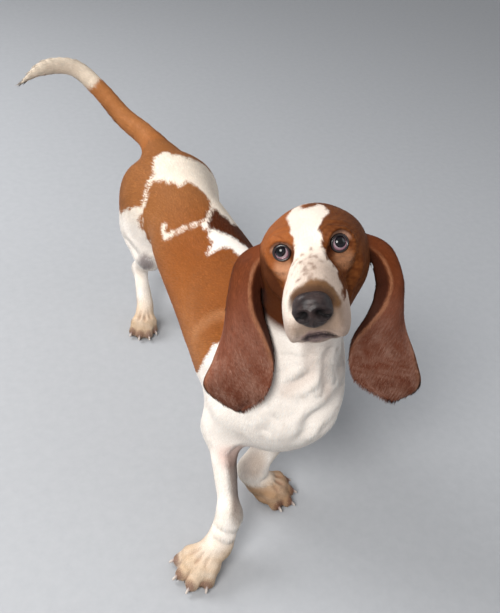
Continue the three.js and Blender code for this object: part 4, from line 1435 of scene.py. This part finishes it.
def muzzle_white(p, local, ragged):
    x, y, z = local.T
    by_nose = ball_gap(local, NOSE_AT, NOSE_RADII)
    under_nose = soft(1.8 - by_nose, 0.4) * soft(-44 - z + 0.3 * x, 10)
    pale = layered(
        MUZZLE,
        # painted shade on the left of the muzzle
        (soft(-40 - y, 20) * soft(x + 8, 14) * 0.7, MUZZLE_SHADE),
        (soft(-44 - z + 0.25 * x, 12) * soft(-70 - y, 16) * 0.75, LOW_MUZZLE),
        (under_nose * 0.7, UNDER_NOSE))
    for fx, fy, size, strength in freckles:
        spot = soft(size - np.hypot(x - fx, y - fy) - 0.5 * ragged, 1.6) * (z > -38)
        pale = layered(pale, (spot * min(strength * 1.3, 0.9), FRECKLE))
    for *middle, size, strength in lip_freckles:
        pale = layered(pale, (soft(size - ball_gap(local, middle), 1.2) * strength, GREY))
    smudge = soft(8.5 - line_gap(local, SMUDGE_LINE)[0] - 1.2 * ragged, 3.5)
    collar = soft(1.36 - by_nose, 0.12) * soft(z + 33 + 0.3 * x, 8)
    return layered(
        pale,
        (soft(waves(p, 5, 54) - 0.5, 0.5) * soft(-30 - y, 20) * 0.16, FRECKLE),
        (np.maximum(smudge, collar) * 0.95, SMUDGE),
        (soft(1.26 - by_nose, 0.2) * soft(z + 36, 8) * 0.75, NOSE_EDGE))


def face_colour(p):
    local = in_head(p)
    ragged = 1.6 * waves(p, 18, 51) + 1.2 * waves(p, 6, 52)
    tint, clear = face_brown(p, local)
    white = face_white(local, clear, ragged)
    lips = ball_gap(local, LIPS_AT, LIPS_RADII) + 0.08 * ragged
    mottle = 0.75 + 0.25 * np.clip(waves(p, 5, 55), -1, 1)
    mouth = soft(3.8 - line_gap(local, MOUTH)[0], 1.4) * soft(20 - np.abs(local[:, 0] - 3), 5)
    return layered(
        tint,
        (soft(white, 1.3), muzzle_white(p, local, ragged)),
        (soft(1.05 - lips, 0.35) * mottle, LIP),
        (mouth * 0.9, MOUTH_LINE))


# %% [markdown]
# Last the parts are put together. The trunk's colours go everywhere first, then those of the
# feet, the tail, the face and the ears over them, each with a soft border.

# %% Markings
def markings(p, gap, down, across):
    """Colour of the coat at places on the hound; ear values come from on_ear."""
    tint = trunk_colour(p)
    low = p[:, 2] < 90
    if low.any():
        tint[low] = paw_colour(p[low], tint[low])
    behind = (p[:, 1] > 338) & (p[:, 2] > 250)
    if behind.any():
        tail, share = tail_colour(p[behind])
        tint[behind] = layered(tint[behind], (soft(share - 0.05, 0.04), tail))
    local = in_head(p)
    close = (local[:, 1] < 130) & (np.abs(local).max(1) < 150) & (p[:, 2] > 330)
    if close.any():
        _, y, z = local[close].T
        seam = 108 - y - 1.26 * np.maximum(-30 - z, 0)
        tint[close] = layered(tint[close], (soft(seam, 12), face_colour(p[close])))
    on_one = soft(5.5 - gap, 1.5) * soft(down - 0.03, 0.03)
    return layered(tint, (on_one, ear_colour(p, down, across)))


# %% [markdown]
# The skin shows between the tufts and on the short-haired parts of the face. It stores the
# coat's colour at each vertex, and a fine noise breaks it up and gives the surface the grain
# of short flat hair.

# %% Colour and finish of the skin
GRAIN_SHADE = (0.30, 0.19, 0.12)


def paint(data, tint, name="Coat"):
    layer = data.color_attributes.new(name, "FLOAT_COLOR", "POINT")
    values = np.ones((len(tint), 4), np.float32)
    values[:, :3] = np.clip(tint, 0, 1)
    layer.data.foreach_set("color", values.ravel())


coat_tint = markings(places, ear_gap, ear_down, ear_across)
paint(skin.data, coat_tint)

skin_finish = Finish("short_coat", Roughness=0.6, Specular_IOR_Level=0.06)
tint = skin_finish.attribute("Coat")
grain = skin_finish.noise(skin_finish.place(), 900.0, 3.0, 0.6)
shaded = skin_finish.mix(grain.ramp(0.3, 0.7) * 0.35, tint, GRAIN_SHADE, "MULTIPLY")
skin_finish.set("Base Color", shaded)
skin_finish.bump(grain, 0.0006, 0.6)
skin.data.materials.clear()
skin.data.materials.append(skin_finish.material)
FLESH = [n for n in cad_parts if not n.startswith(("claw", "eye", "nose"))]
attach(skin, "root")
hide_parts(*FLESH)
print("skin replaces", len(FLESH), "nodes")

# %% [markdown]
# ## Eyes
# An eye is a white ball with a dark iris, under a clear wet skin. A sphere is turned so that
# its pole looks where the hound looks, and the cornea is raised a little round the pole. The
# UV map holds the angle from the pole, so iris and pupil are rings in the shader. The white is
# pinker toward the lids, as a hound's is, and greyed all over as painted shade.

# %% Eyeballs
IRIS_ANGLE, PUPIL_ANGLE = math.asin(7.3 / EYE_RADIUS), math.asin(3.4 / EYE_RADIUS)
CORNEA_RISE = 0.7
CORNEA_SPREAD, EYE_INSET = 1.15, 0.15
# The eye white's own pink is greyed all over as painted shade.
SHADED_EYE_WHITE, EYE_RED = colour("b0a2a9"), colour("7f4c5b")


def eyeball(side, opening):
    mesh = bmesh.new()
    bmesh.ops.create_uvsphere(mesh, u_segments=64, v_segments=48, radius=1.0)
    gaze = Vector(unit(np.array(opening["gaze"], float)))
    turn = gaze.to_track_quat("Z", "Y").to_matrix()
    angles = mesh.loops.layers.uv.new("around_gaze")
    for loop in [loop for face in mesh.faces for loop in face.loops]:
        co = loop.vert.co
        loop[angles].uv = (math.atan2(co.y, co.x) / (2 * math.pi) + 0.5,
                           math.acos(max(-1, min(1, co.z))) / math.pi)
    for vertex in mesh.verts:
        from_pole = math.acos(max(-1, min(1, vertex.co.z)))
        rise = CORNEA_RISE * max(0, 1 - (from_pole / (IRIS_ANGLE * CORNEA_SPREAD)) ** 2)
        vertex.co = vertex.co * (EYE_RADIUS - EYE_INSET + rise)
    bmesh.ops.rotate(mesh, verts=mesh.verts, matrix=turn)
    bmesh.ops.translate(mesh, verts=mesh.verts, vec=Vector(opening["middle"]))
    local = np.array([v.co for v in mesh.verts])
    for vertex, place in zip(mesh.verts, to_scene(on_head(local))):
        vertex.co = place
    piece = mesh_object(f"eyeball_{side}", mesh)
    x, y, _ = across_opening(opening, local)
    rim = np.hypot(x, y) / edge_of(opening, np.arctan2(y, x))
    redness = soft(rim - 0.75, 0.35) * (0.35 + 0.65 * soft(-y, 8))
    # the white, greyed as painted shade and redder toward the lids
    paint(piece.data, layered(SHADED_EYE_WHITE, (redness, EYE_RED)), "White")
    piece.data.shade_smooth()
    return piece


# %% [markdown]
# The iris is nearly black, with fibres that run from the pupil outward. Fine veins cross the
# white. All borders are shares of the half turn from the middle of the pupil to the far pole.

# %% Finish of the eyes
IRIS_DARK, IRIS_LIGHT, IRIS_RING = colour("0b0a0e"), colour("1b1a22"), colour("0e0c10")
PUPIL, VEIN = colour("050506"), colour("a04a52")


def eye_finish():
    finish = Finish("eye", Roughness=0.2, Specular_IOR_Level=0.08, Coat_Weight=0.7,
                    Coat_Roughness=0.03)
    uv = finish.node("ShaderNodeUVMap", {"uv_map": "around_gaze"})
    from_gaze = finish.node("ShaderNodeSeparateXYZ", None, {0: uv}, 1)
    around = finish.node("ShaderNodeMapping", None, {"Vector": uv, "Scale": (26, 3.5, 1)})
    fibres = finish.noise(around, 3.0, 3.0, 0.6)
    iris_edge, pupil_edge = IRIS_ANGLE / math.pi, PUPIL_ANGLE / math.pi
    iris = finish.mix(fibres.ramp(0.3, 0.75), IRIS_DARK, IRIS_LIGHT)
    limbus = from_gaze.ramp(iris_edge - 0.035, iris_edge - 0.004)
    iris = finish.mix(limbus, iris, IRIS_RING)
    iris = finish.mix(from_gaze.ramp(pupil_edge - 0.006, pupil_edge + 0.006), PUPIL, iris)
    veins = finish.noise(finish.place(), 420.0, 4.0, 0.7)
    white = finish.mix(veins.ramp(0.56, 0.68) * 0.35, finish.attribute("White"), VEIN)
    whole = finish.mix(from_gaze.ramp(iris_edge - 0.008, iris_edge + 0.008), iris, white)
    finish.set("Base Color", whole)
    return finish.material


wet_eye = eye_finish()
for side, opening in OPENING.items():
    ball_piece = eyeball(side, opening)
    ball_piece.data.materials.append(wet_eye)
    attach(ball_piece, "root")
    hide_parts(f"eye_{side}")
print("eyes:", len(OPENING))

# %% [markdown]
# The edge of each lid is black, bare and moist. It is a ring that follows the opening over the
# eyeball, thicker in the upper lid. Inside the lower lid lies the haw, a red lining that shows
# as a thin crescent. Both are grids wrapped round the edge of the opening.

# %% Rims of the lids
RIM_AROUND, RIM_SIDES = 120, 16
RIM_TOP, RIM_LOW, RIM_THICK = 2.7, 1.8, 1.7
LINING_THIN, LINING_MORE, LINING_FROM = 0.3, 1.0, 0.35
RIM_BLACK, RIM_BROWN = colour("0d0a0b"), colour("2c2022")
HAW_DARK, HAW_PINK = colour("653f4b"), colour("946a76")


def ring_on_eye(opening, angle, beyond, rise):
    """Places on the eyeball at an angle round the opening, a little beyond its edge."""
    edge = edge_of(opening, angle) + beyond
    x, y = edge * np.cos(angle), edge * np.sin(angle)
    high = np.sqrt(np.maximum((EYE_RADIUS + rise) ** 2 - x * x - y * y, 4.0))
    return (opening["middle"] + opening["right"] * x[:, None] + opening["up"] * y[:, None]
            + opening["axis"] * high[:, None])


def rim_surface(opening, along, around, beyond, rise, thick):
    angle = 2 * math.pi * along
    middle = ring_on_eye(opening, angle, beyond, rise)
    outward = unit(middle - opening["middle"])
    ahead_place = ring_on_eye(opening, angle + 0.01, beyond, rise)
    across = unit(np.cross(ahead_place - middle, outward))
    section = 2 * math.pi * around
    wide, high = thick(angle)
    return (middle + across * (np.cos(section) * wide)[:, None]
            + outward * (np.sin(section) * high)[:, None])


def rim_thickness(angle):
    return RIM_LOW + (RIM_TOP - RIM_LOW) * (0.5 + 0.5 * np.sin(angle)), RIM_THICK


def haw_thickness(angle):
    lining = LINING_THIN + LINING_MORE * np.clip(-np.sin(angle) + LINING_FROM, 0, 1)
    return lining, lining * 0.8


rim_finish = Finish("lid_rim", Roughness=0.28, Specular_IOR_Level=0.5, Coat_Weight=0.4,
                    Coat_Roughness=0.15)
rim_grain = rim_finish.noise(rim_finish.place(), 1500.0, 3.0, 0.6)
rim_finish.set("Base Color", rim_finish.mix(rim_grain, RIM_BLACK, RIM_BROWN))
rim_finish.bump(rim_grain, 0.0002, 0.5)
haw_finish = Finish("haw", Roughness=0.18, Specular_IOR_Level=0.5, Coat_Weight=0.8,
                    Coat_Roughness=0.08)
haw_grain = haw_finish.noise(haw_finish.place(), 700.0, 3.0, 0.6)
haw_finish.set("Base Color", haw_finish.mix(haw_grain, HAW_DARK, HAW_PINK))
haw_finish.bump(haw_grain, 0.0002, 0.4)

for side, opening in OPENING.items():
    for name, beyond, rise, thick, finish, slot in (
            ("lid_rim", 0.8, 0.9, rim_thickness, rim_finish, "nose_leather"),
            ("haw", -1.6, -0.3, haw_thickness, haw_finish, "eye")):
        def place(x, y, opening=opening, beyond=beyond, rise=rise, thick=thick):
            return to_scene(on_head(rim_surface(opening, x, y, beyond, rise, thick)))
        piece = wrapped(f"{name}_{side}", RIM_AROUND, RIM_SIDES, place)
        piece.data.shade_smooth()
        piece.data.materials.append(finish.material)
        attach(piece, "root")
        print(piece.name, len(piece.data.polygons), "faces")

# %% [markdown]
# ## Nose
# The nose is a broad leather pad with a flat front. Each nostril is a pit that runs out into a
# slit under its wing, and a groove divides the pad below. All are pressed into a fine sphere.
# Its leather is made of small cells, which a Voronoi texture gives as bump. Painted shade
# darkens the nostrils, their slits and the groove.

# %% Nose pad
NOSTRIL_ACROSS, NOSTRIL_DOWN = 10.8, -37.5
SLIT = [(13, -118, -40), (16, -116, -42), (18.5, -112, -42)]
GROOVE = [(1, -121, -39), (1, -120, -46), (1, -116, -54), (1, -108, -60)]
LEATHER_DARK, LEATHER_LIGHT = colour("1f1516"), colour("3d2d2a")
# The second colour on the next line is painted shade inside the nostrils, slits and groove.
LEATHER_GAP, NOSTRIL_SHADE = colour("150e0f"), colour("060304")


def nose_shape(unit_places):
    """Places on the nose pad and the share of painted shade each gets in a nostril, slit or groove."""
    squarer = np.sign(unit_places) * np.abs(unit_places) ** [0.86, 1, 0.86]
    shape = squarer * NOSE_RADII
    shape[:, 0] *= 1 - 0.2 * np.clip(-unit_places[:, 2], 0, 1)
    shape[:, 1] += 1.2 * np.clip(-unit_places[:, 1], 0, 1) ** 4
    place = shape + NOSE_AT
    x, y, z = place.T
    lift, dark = np.zeros(len(place)), np.zeros(len(place))
    in_front = y < NOSE_AT[1] - 3
    for side in (-1, 1):
        across, upward = (x - side * NOSTRIL_ACROSS), z - NOSTRIL_DOWN
        pit = np.hypot((across + 0.3 * side * upward) / 5.8, upward / 4.9)
        lift -= 7.0 * np.exp(-pit ** 3.2) * in_front
        lift += 1.5 * np.exp(-((pit - 1.7) / 0.5) ** 2) * in_front
        dark = np.maximum(dark, np.exp(-(pit / 1.05) ** 4) * in_front)
        slit = [(side * x, y, z) for x, y, z in SLIT]
        lift += fold(place, slit, 1.6, 3.4, 0.3)
        dark = np.maximum(dark, soft(2.4 - line_gap(place, slit)[0], 1.6))
    lift += fold(place, GROOVE, 1.4, 2.4, 0.3)
    dark = np.maximum(dark, 0.8 * soft(1.6 - line_gap(place, GROOVE)[0], 1.4))
    return place + unit(unit_places) * lift[:, None], dark


mesh = bmesh.new()
bmesh.ops.create_icosphere(mesh, subdivisions=6, radius=1.0)
shaped, pit_shade = nose_shape(unit(np.array([v.co for v in mesh.verts])))
for vertex, spot in zip(mesh.verts, to_scene(on_head(shaped))):
    vertex.co = spot
nose = mesh_object("nose_pad", mesh)
nose.data.shade_smooth()
# Store the painted shade of the nostrils, slits and groove at the vertices.
paint(nose.data, np.repeat(pit_shade[:, None], 3, axis=1), "PitShade")
leather = Finish("nose_leather", Specular_IOR_Level=0.25, Coat_Weight=0.15, Coat_Roughness=0.25)
cells = leather.node("ShaderNodeTexVoronoi", {"feature": "DISTANCE_TO_EDGE"},
                     {"Vector": leather.place(), "Scale": 720.0})
mottle = leather.noise(leather.place(), 90.0, 3.0, 0.6)
leather_tint = leather.mix(mottle.ramp(0.35, 0.7), LEATHER_DARK, LEATHER_LIGHT)
leather_tint = leather.mix(cells.ramp(0.0, 0.12), LEATHER_GAP, leather_tint)
pit_shade_mask = leather.attribute("PitShade", "Fac")
# painted shade darkens the leather in the nostrils, slits and groove
leather.set("Base Color", leather.mix(pit_shade_mask, leather_tint, NOSTRIL_SHADE))
leather.set("Roughness", pit_shade_mask * 0.5 + 0.38)
leather.bump(cells.ramp(0.0, 0.22) + mottle * 0.3, 0.0005, 0.7)
nose.data.materials.append(leather.material)
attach(nose, "root")
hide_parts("nose")
print("nose:", len(nose.data.polygons), "faces")

# %% [markdown]
# ## Claws
# A hound's claws are stout, curved and blunt, since they are worn by the ground. Each is a
# cone wrapped from a grid, deeper than it is wide, that grows out of its toe and bends down.
# The claws of one paw are one mesh.

# %% Claws
CLAW_LENGTH, CLAW_BASE, CLAW_END = 15.5, 3.9, 1.7
CLAW_DROOP = 52.0
CLAW_START, CLAW_ROOT, CLAW_RAISED = -4, 3, 1.5
CLAW_NARROW, CLAW_TAPER = 0.78, 1.3
CLAW_BLUNT, CLAW_CLOSED = 0.88, 0.02
CLAW_FLOOR = 0.0006
HORN_DARK, HORN_PALE, HORN_ROOT = colour("a89a90"), colour("d6ccc2"), colour("6b443c")


def claw_surface(toe, s, around, along):
    _, _, tip, heading = toe
    side, upward = np.array([-heading[1], heading[0], 0]), np.array([0, 0, 1])
    angle = np.radians(CLAW_START + CLAW_DROOP * along)
    bend = math.radians(CLAW_DROOP)
    reach = CLAW_LENGTH * s
    forward = reach * np.sin(bend * along) / bend
    drop = reach * (1 - np.cos(bend * along)) / bend
    middle = tip + heading * (forward + CLAW_ROOT)[:, None] - upward * (drop - CLAW_RAISED)[:, None]
    normal = heading * np.sin(angle)[:, None] + upward * np.cos(angle)[:, None]
    size = s * (CLAW_BASE + (CLAW_END - CLAW_BASE) * along ** CLAW_TAPER)
    past = np.clip((along - CLAW_BLUNT) / (1 - CLAW_BLUNT), 0, 1)
    closing = np.sqrt(np.clip(1 - past ** 2, 0, 1))
    closing = closing * np.clip(along / CLAW_CLOSED, 0, 1)
    section = 2 * math.pi * around
    return (middle + side * (np.cos(section) * size * closing * CLAW_NARROW)[:, None]
            + normal * (np.sin(section) * size * closing)[:, None])


horn = Finish("claw_horn", Roughness=0.35, Specular_IOR_Level=0.45)
streaks = horn.noise(horn.place((1, 1, 0.35)), 500.0, 3.0, 0.6)
pale_horn = horn.mix(streaks, HORN_DARK, HORN_PALE)
toward_tip = horn.attribute("Tip", "Fac").ramp(0.45, 0.8)
horn.set("Base Color", horn.mix(toward_tip, HORN_ROOT, pale_horn))
horn.bump(streaks, 0.0002, 0.4)

for name, paw in PAWS.items():
    claws = bmesh.new()
    for toe in toes(paw):
        def place(x, y, toe=toe, size=paw["scale"]):
            return to_scene(claw_surface(toe, size, x, y))
        one = wrapped("claw", 16, 24, place)
        claws.from_mesh(one.data)
        bpy.data.objects.remove(one)
    for vertex in claws.verts:
        vertex.co.z = max(vertex.co.z, CLAW_FLOOR)
    piece = mesh_object(f"claws_of_{name}", claws)
    spots = from_scene(vertices(piece.data))
    far = np.min([np.linalg.norm(spots - toe[2], axis=1) for toe in toes(paw)], axis=0)
    paint(piece.data, np.repeat(far[:, None] / (CLAW_LENGTH + 3), 3, axis=1), "Tip")
    piece.data.shade_smooth()
    piece.data.materials.append(horn.material)
    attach(piece, "root")
    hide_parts(*[f"claw_{name}_{i}" for i in range(1, 5)])
    print(piece.name, len(piece.data.polygons), "faces")

# %% [markdown]
# ## The coat
# The coat is short, so each tuft is a small flat kite of hair, lying along the body with its
# root sunk in the skin and its tip just above it. One tuft has only four faces. Many thousands
# of them, laid from head to tail like thatch, break the light and the outline as fur does.
# Their places are drawn at random over the skin, more of them where they are small.

# %% Unwrap the skin
bpy.context.view_layer.objects.active = skin
skin.select_set(True)
skin.data.uv_layers.new(name="unwrap")
bpy.ops.object.mode_set(mode="EDIT")
bpy.ops.mesh.select_all(action="SELECT")
bpy.ops.uv.smart_project(angle_limit=math.radians(75), island_margin=0.002)
bpy.ops.object.mode_set(mode="OBJECT")

skin.data.calc_loop_triangles()
triangles = skin.data.loop_triangles
corner_vertices = read(triangles, "vertices", 3, np.int32)
corner_loops = read(triangles, "loops", 3, np.int32)
unwrap = read(skin.data.uv_layers["unwrap"].data, "uv", 2).astype(float)
normals = read(skin.data.vertices, "normal", 3).astype(float)
places = from_scene(vertices(skin.data))
local = in_head(places)
a, b, c = (places[corner_vertices[:, i]] for i in range(3))
triangle_area = np.linalg.norm(np.cross(b - a, c - a), axis=1) / 2
print("skin:", len(triangles), "triangles,", round(triangle_area.sum() / 1e6, 3), "square metres")

# %% [markdown]
# Every vertex of the skin is given the length, width, spacing and lie of the hair there. The
# numbers come from how the coat of a real hound grows: velvet on the face and feet, sleek on
# the ears, longer on the back and flanks, and longest under the tail.

# %% Length, width and lie of the hair
on_leather = soft(5.5 - ear_gap, 1.5) * (body_gap > -3)
in_front = soft(40 - local[:, 1], 30) * (np.abs(local).max(1) < 145)
on_headpiece = soft(125 - local[:, 1], 16) * (np.abs(local).max(1) < 150) * (places[:, 2] > 340)
on_legs = soft(172 - places[:, 2], 40)
on_feet = soft(52 - places[:, 2], 18)
tail_gap, tail_share = line_gap(places, tail_places)
on_tail = soft(42 - tail_gap, 12) * soft(tail_share - 0.06, 0.05)
on_chest = soft(-235 - places[:, 1], 40) * soft(places[:, 2] - 150, 40)

# length, width and spacing on each part, laid over those of the flanks
hair = {"length": np.full(len(places), 11.0), "width": np.full(len(places), 1.15),
        "spacing": np.full(len(places), 0.29)}
for mask, *values in (
        (on_chest, 8.5, 1.0, 0.40),
        (on_legs, 8.0, 0.95, 0.40),
        (on_feet, 5.0, 0.75, 0.60),
        (on_tail, 12.0, 1.1, 0.34),
        (on_headpiece, 6.5, 0.75, 0.62),
        (in_front, 3.6, 0.52, 1.35),
        (on_leather, 7.5, 0.75, 0.52)):
    for key, value in zip(hair, values):
        hair[key] += (value - hair[key]) * mask
under_tail = on_tail * soft(-normals[:, 2], 0.6)
hair["length"] += 5.0 * under_tail

lie = lie_of_hair(places)
lie = lie + on_leather[:, None] * (ear_lie * 1.5 - lie)
lie = lie - normals * (lie * normals).sum(1)[:, None]
lie = unit(lie)
for _ in range(4):
    lie = unit(lie + averaged(lie, links(skin.data)))

bare = np.zeros(len(places), bool)
for opening in OPENING.values():
    inside, radius = from_opening(opening, local)
    near = soft(2.4 - inside, 0.5) * soft(40 - radius, 8)
    hair["length"] += (2.0 - hair["length"]) * near
    bare |= (inside < 1.32) & (radius < 26)
bare |= ball_gap(local, NOSE_AT, NOSE_RADII + 0.6) < 1
bare |= (line_gap(local, MOUTH)[0] < 1.6) & (np.abs(local[:, 0]) < 28)
bare |= places[:, 2] < 2.5
print("bare:", int(bare.sum()), "of", len(bare), "vertices")

# %% [markdown]
# A kite has four corners: the root, the two sides of its widest place, and the tip. `scatter`
# draws the places of the tufts on the skin and reads there what the skin's vertices know.

kite = bmesh.new()
bmesh.ops.create_cone(kite, cap_ends=True, segments=3, radius1=0.5, radius2=0.0, depth=1.0)
KITE_ACROSS = np.array([0.0, -0.5, 0.5, 0.0])
KITE_ALONG = np.array([0.0, 0.34, 0.34, 1.0])
KITE_UP = np.array([0.0, -0.13, -0.13, 0.0])
for vertex, place in zip(kite.verts, zip(KITE_ACROSS, KITE_ALONG, KITE_UP)):
    vertex.co = place
kite.normal_update()
bmesh.ops.recalc_face_normals(kite, faces=kite.faces)
kite_faces = np.array([[v.index for v in face.verts] for face in kite.faces])
kite.free()


def scatter(chosen, draw):
    """Random places on the triangles whose corners are chosen, and what the skin knows there."""
    rate = (hair["spacing"] * (chosen & ~bare))[corner_vertices].min(axis=1) * triangle_area
    total = int(rate.sum())
    aims = (np.arange(total) + draw.random(total)) / total * rate.sum()
    picks = np.minimum(np.searchsorted(np.cumsum(rate), aims), len(rate) - 1)
    u, v = draw.random(total), draw.random(total)
    flip = u + v > 1
    u[flip], v[flip] = 1 - u[flip], 1 - v[flip]
    weights = np.column_stack([1 - u - v, u, v])
    own = corner_vertices[picks]

    def between(values):
        return (values[own] * (weights[..., None] if values.ndim > 1 else weights)).sum(axis=1)

    leather = between(on_leather) > 0.3
    tint = markings(between(places), np.where(leather, between(ear_gap), 99.0),
                    between(ear_down), between(ear_across))
    uv = (unwrap[corner_loops[picks]] * weights[..., None]).sum(axis=1)
    return {"root": between(places), "normal": unit(between(normals)), "way": unit(between(lie)),
            "length": between(hair["length"]), "width": between(hair["width"]),
            "tint": tint, "uv": uv, "total": total}


# %% [markdown]
# Each kite is stretched along the lie of the hair, with a little swirl and lift of its own. It
# is darker at the root than at the tip, and its normals lean to both sides, which rounds it. On
# the UV map OFBake each tuft has a small patch of its own, and the skin's unwrap says where.

# %% Corners and shades of the tufts
SPREAD = (0.75, 1.25)
ROOT_SUNK, ROOT_UNDER, LIFT = 0.025, 0.05, 4.0
LOWEST = 0.3
PATCH = 0.0015
KITE_SHADE = np.array([-0.16, -0.04, -0.04, 0.10])


def on_kite(shape, size, way):
    """Steps along one direction for the four corners of every kite."""
    return way[:, None] * (shape[None] * size[:, None])[..., None]


def tuft_corners(tufts, draw):
    """Places and normals of the corners of all kites."""
    root, normal, way, total = (tufts[key] for key in ("root", "normal", "way", "total"))
    length = tufts["length"] * draw.uniform(*SPREAD, total)
    width = tufts["width"] * draw.uniform(*SPREAD, total)
    swirl = 0.20 * waves(root, 60, 71) + draw.normal(0, 0.13, total)
    across = unit(np.cross(way, normal))
    way = way * np.cos(swirl)[:, None] + across * np.sin(swirl)[:, None]
    across = unit(np.cross(way, normal))
    rise = np.radians(LIFT + 0.7 * waves(root, 25, 72) + draw.normal(0, 1.2, total))
    blade = way * np.cos(rise)[:, None] + normal * np.sin(rise)[:, None]
    top = np.cross(across, blade)
    sunk = normal * (ROOT_UNDER + ROOT_SUNK * length)[:, None]
    corners = (root[:, None] - sunk[:, None] + on_kite(KITE_ALONG, length, blade)
               + on_kite(KITE_ACROSS, width, across) + on_kite(KITE_UP, width, top))
    corners[..., 2] = np.maximum(corners[..., 2], LOWEST)
    aside = across[:, None] * (KITE_ACROSS[None] * 0.5)[..., None]
    return corners, unit(normal[:, None] + aside + way[:, None] * 0.1)


def tuft_shades(tufts, draw):
    """Colours of the corners of all kites: darker at the root, and no two kites quite alike."""
    root, tint, total = (tufts[key] for key in ("root", "tint", "total"))
    contrast = (1 - 0.75 * tint.mean(axis=1))[:, None]
    patchy = draw.normal(0, 0.14, total) + 0.1 * waves(root, 14, 73)
    bright = 1 + contrast * (patchy[:, None] + KITE_SHADE)
    warm = 1 + draw.normal(0, 0.02, total)[:, None, None] * np.array([1, 0, -1])[None, None, :]
    return tint[:, None] * bright[..., None] * warm


# %% [markdown]
# The mesh of a piece of coat is filled from arrays, since it has many thousand faces. The coat's
# finish takes the colour of each tuft and breaks it up with noise.

# %% A piece of coat
COAT_SHADE = (0.55, 0.45, 0.4)

coat_finish = Finish("coat", Roughness=0.5, Specular_IOR_Level=0.08)
hair_tint = coat_finish.attribute("Coat")
hair_noise = coat_finish.noise(coat_finish.place(), 60.0, 2.0, 0.5)
shaded = coat_finish.mix(hair_noise.ramp(0.35, 0.65) * 0.18, hair_tint, COAT_SHADE, "MULTIPLY")
coat_finish.set("Base Color", shaded)
coat_finish.bump(coat_finish.noise(coat_finish.place(), 1800.0), 0.0002, 0.3)


def grow(name, chosen, draw):
    """A piece of coat over the triangles whose corners are chosen."""
    tufts = scatter(chosen, draw)
    corners, leaning = tuft_corners(tufts, draw)
    total = tufts["total"]
    faces = (np.arange(total)[:, None, None] * 4 + kite_faces[None]).reshape(-1, 3)
    data = bpy.data.meshes.new(name)
    data.vertices.add(total * 4)
    data.vertices.foreach_set("co", to_scene(corners.reshape(-1, 3)).astype(np.float32).ravel())
    data.loops.add(len(faces) * 3)
    data.loops.foreach_set("vertex_index", faces.astype(np.int32).ravel())
    data.polygons.add(len(faces))
    data.polygons.foreach_set("loop_start", np.arange(len(faces), dtype=np.int32) * 3)
    data.update(calc_edges=True)
    data.polygons.foreach_set("use_smooth", np.ones(len(faces), bool))
    data.normals_split_custom_set_from_vertices(leaning.reshape(-1, 3))
    paint(data, tuft_shades(tufts, draw).reshape(-1, 3))
    patch = np.column_stack([KITE_ACROSS * 2 * PATCH, (KITE_ALONG * 2 - 1) * PATCH])
    patches = (tufts["uv"][:, None] + patch[None]).reshape(-1, 2)
    layer = data.uv_layers.new(name="OFBake")
    layer.data.foreach_set("uv", patches[faces.ravel()].astype(np.float32).ravel())
    data.materials.append(coat_finish.material)
    piece = bpy.data.objects.new(name, data)
    bpy.context.scene.collection.objects.link(piece)
    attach(piece, "root")
    print(name, total, "tufts", len(faces), "triangles")
    return piece


# %% [markdown]
# The coat is grown in eleven pieces, so that none is too heavy. A triangle between two parts
# belongs to the part that is grown first.

# %% The coat, part by part
leather_part = on_leather > 0.3
tail_part = (on_tail > 0.5) & ~leather_part
head_part = (on_headpiece > 0.5) & ~leather_part & ~tail_part
face_part = head_part & (local[:, 1] < 20)
leg_part = (places[:, 2] < 150) & ~tail_part
rest = ~(leather_part | tail_part | head_part | leg_part)
right_side = local[:, 0] < 0
fore = places[:, 1] < 0
COATS = {
    "coat_ear_right": leather_part & right_side,
    "coat_ear_left": leather_part & ~right_side,
    "coat_face_right": face_part & right_side,
    "coat_face_left": face_part & ~right_side,
    "coat_skull": head_part & ~face_part,
    "coat_tail": tail_part,
    "coat_forelegs": leg_part & fore,
    "coat_hindlegs": leg_part & ~fore,
    "coat_neck": rest & (places[:, 1] < -150),
    "coat_flanks": rest & (places[:, 1] >= -150) & (places[:, 1] < 130),
    "coat_rump": rest & (places[:, 1] >= 130),
}
SLOTS = {"ear": "ear_coat", "forelegs": "white_coat", "hindlegs": "white_coat", "neck": "white_coat"}
grown = np.zeros(len(places), bool)
tuft_count = 0
for i, (name, part) in enumerate(COATS.items()):
    wide = part.copy()
    wide[corner_vertices[part[corner_vertices].any(axis=1)].ravel()] = True
    slot = SLOTS.get(name.split("_")[1], "tan_coat")
    piece = grow(name, wide & ~grown | part, np.random.default_rng(SEED + i))
    grown |= part
    tuft_count += len(piece.data.polygons) // 4
print("tufts in all:", tuft_count)
skin.data.uv_layers.remove(skin.data.uv_layers["unwrap"])
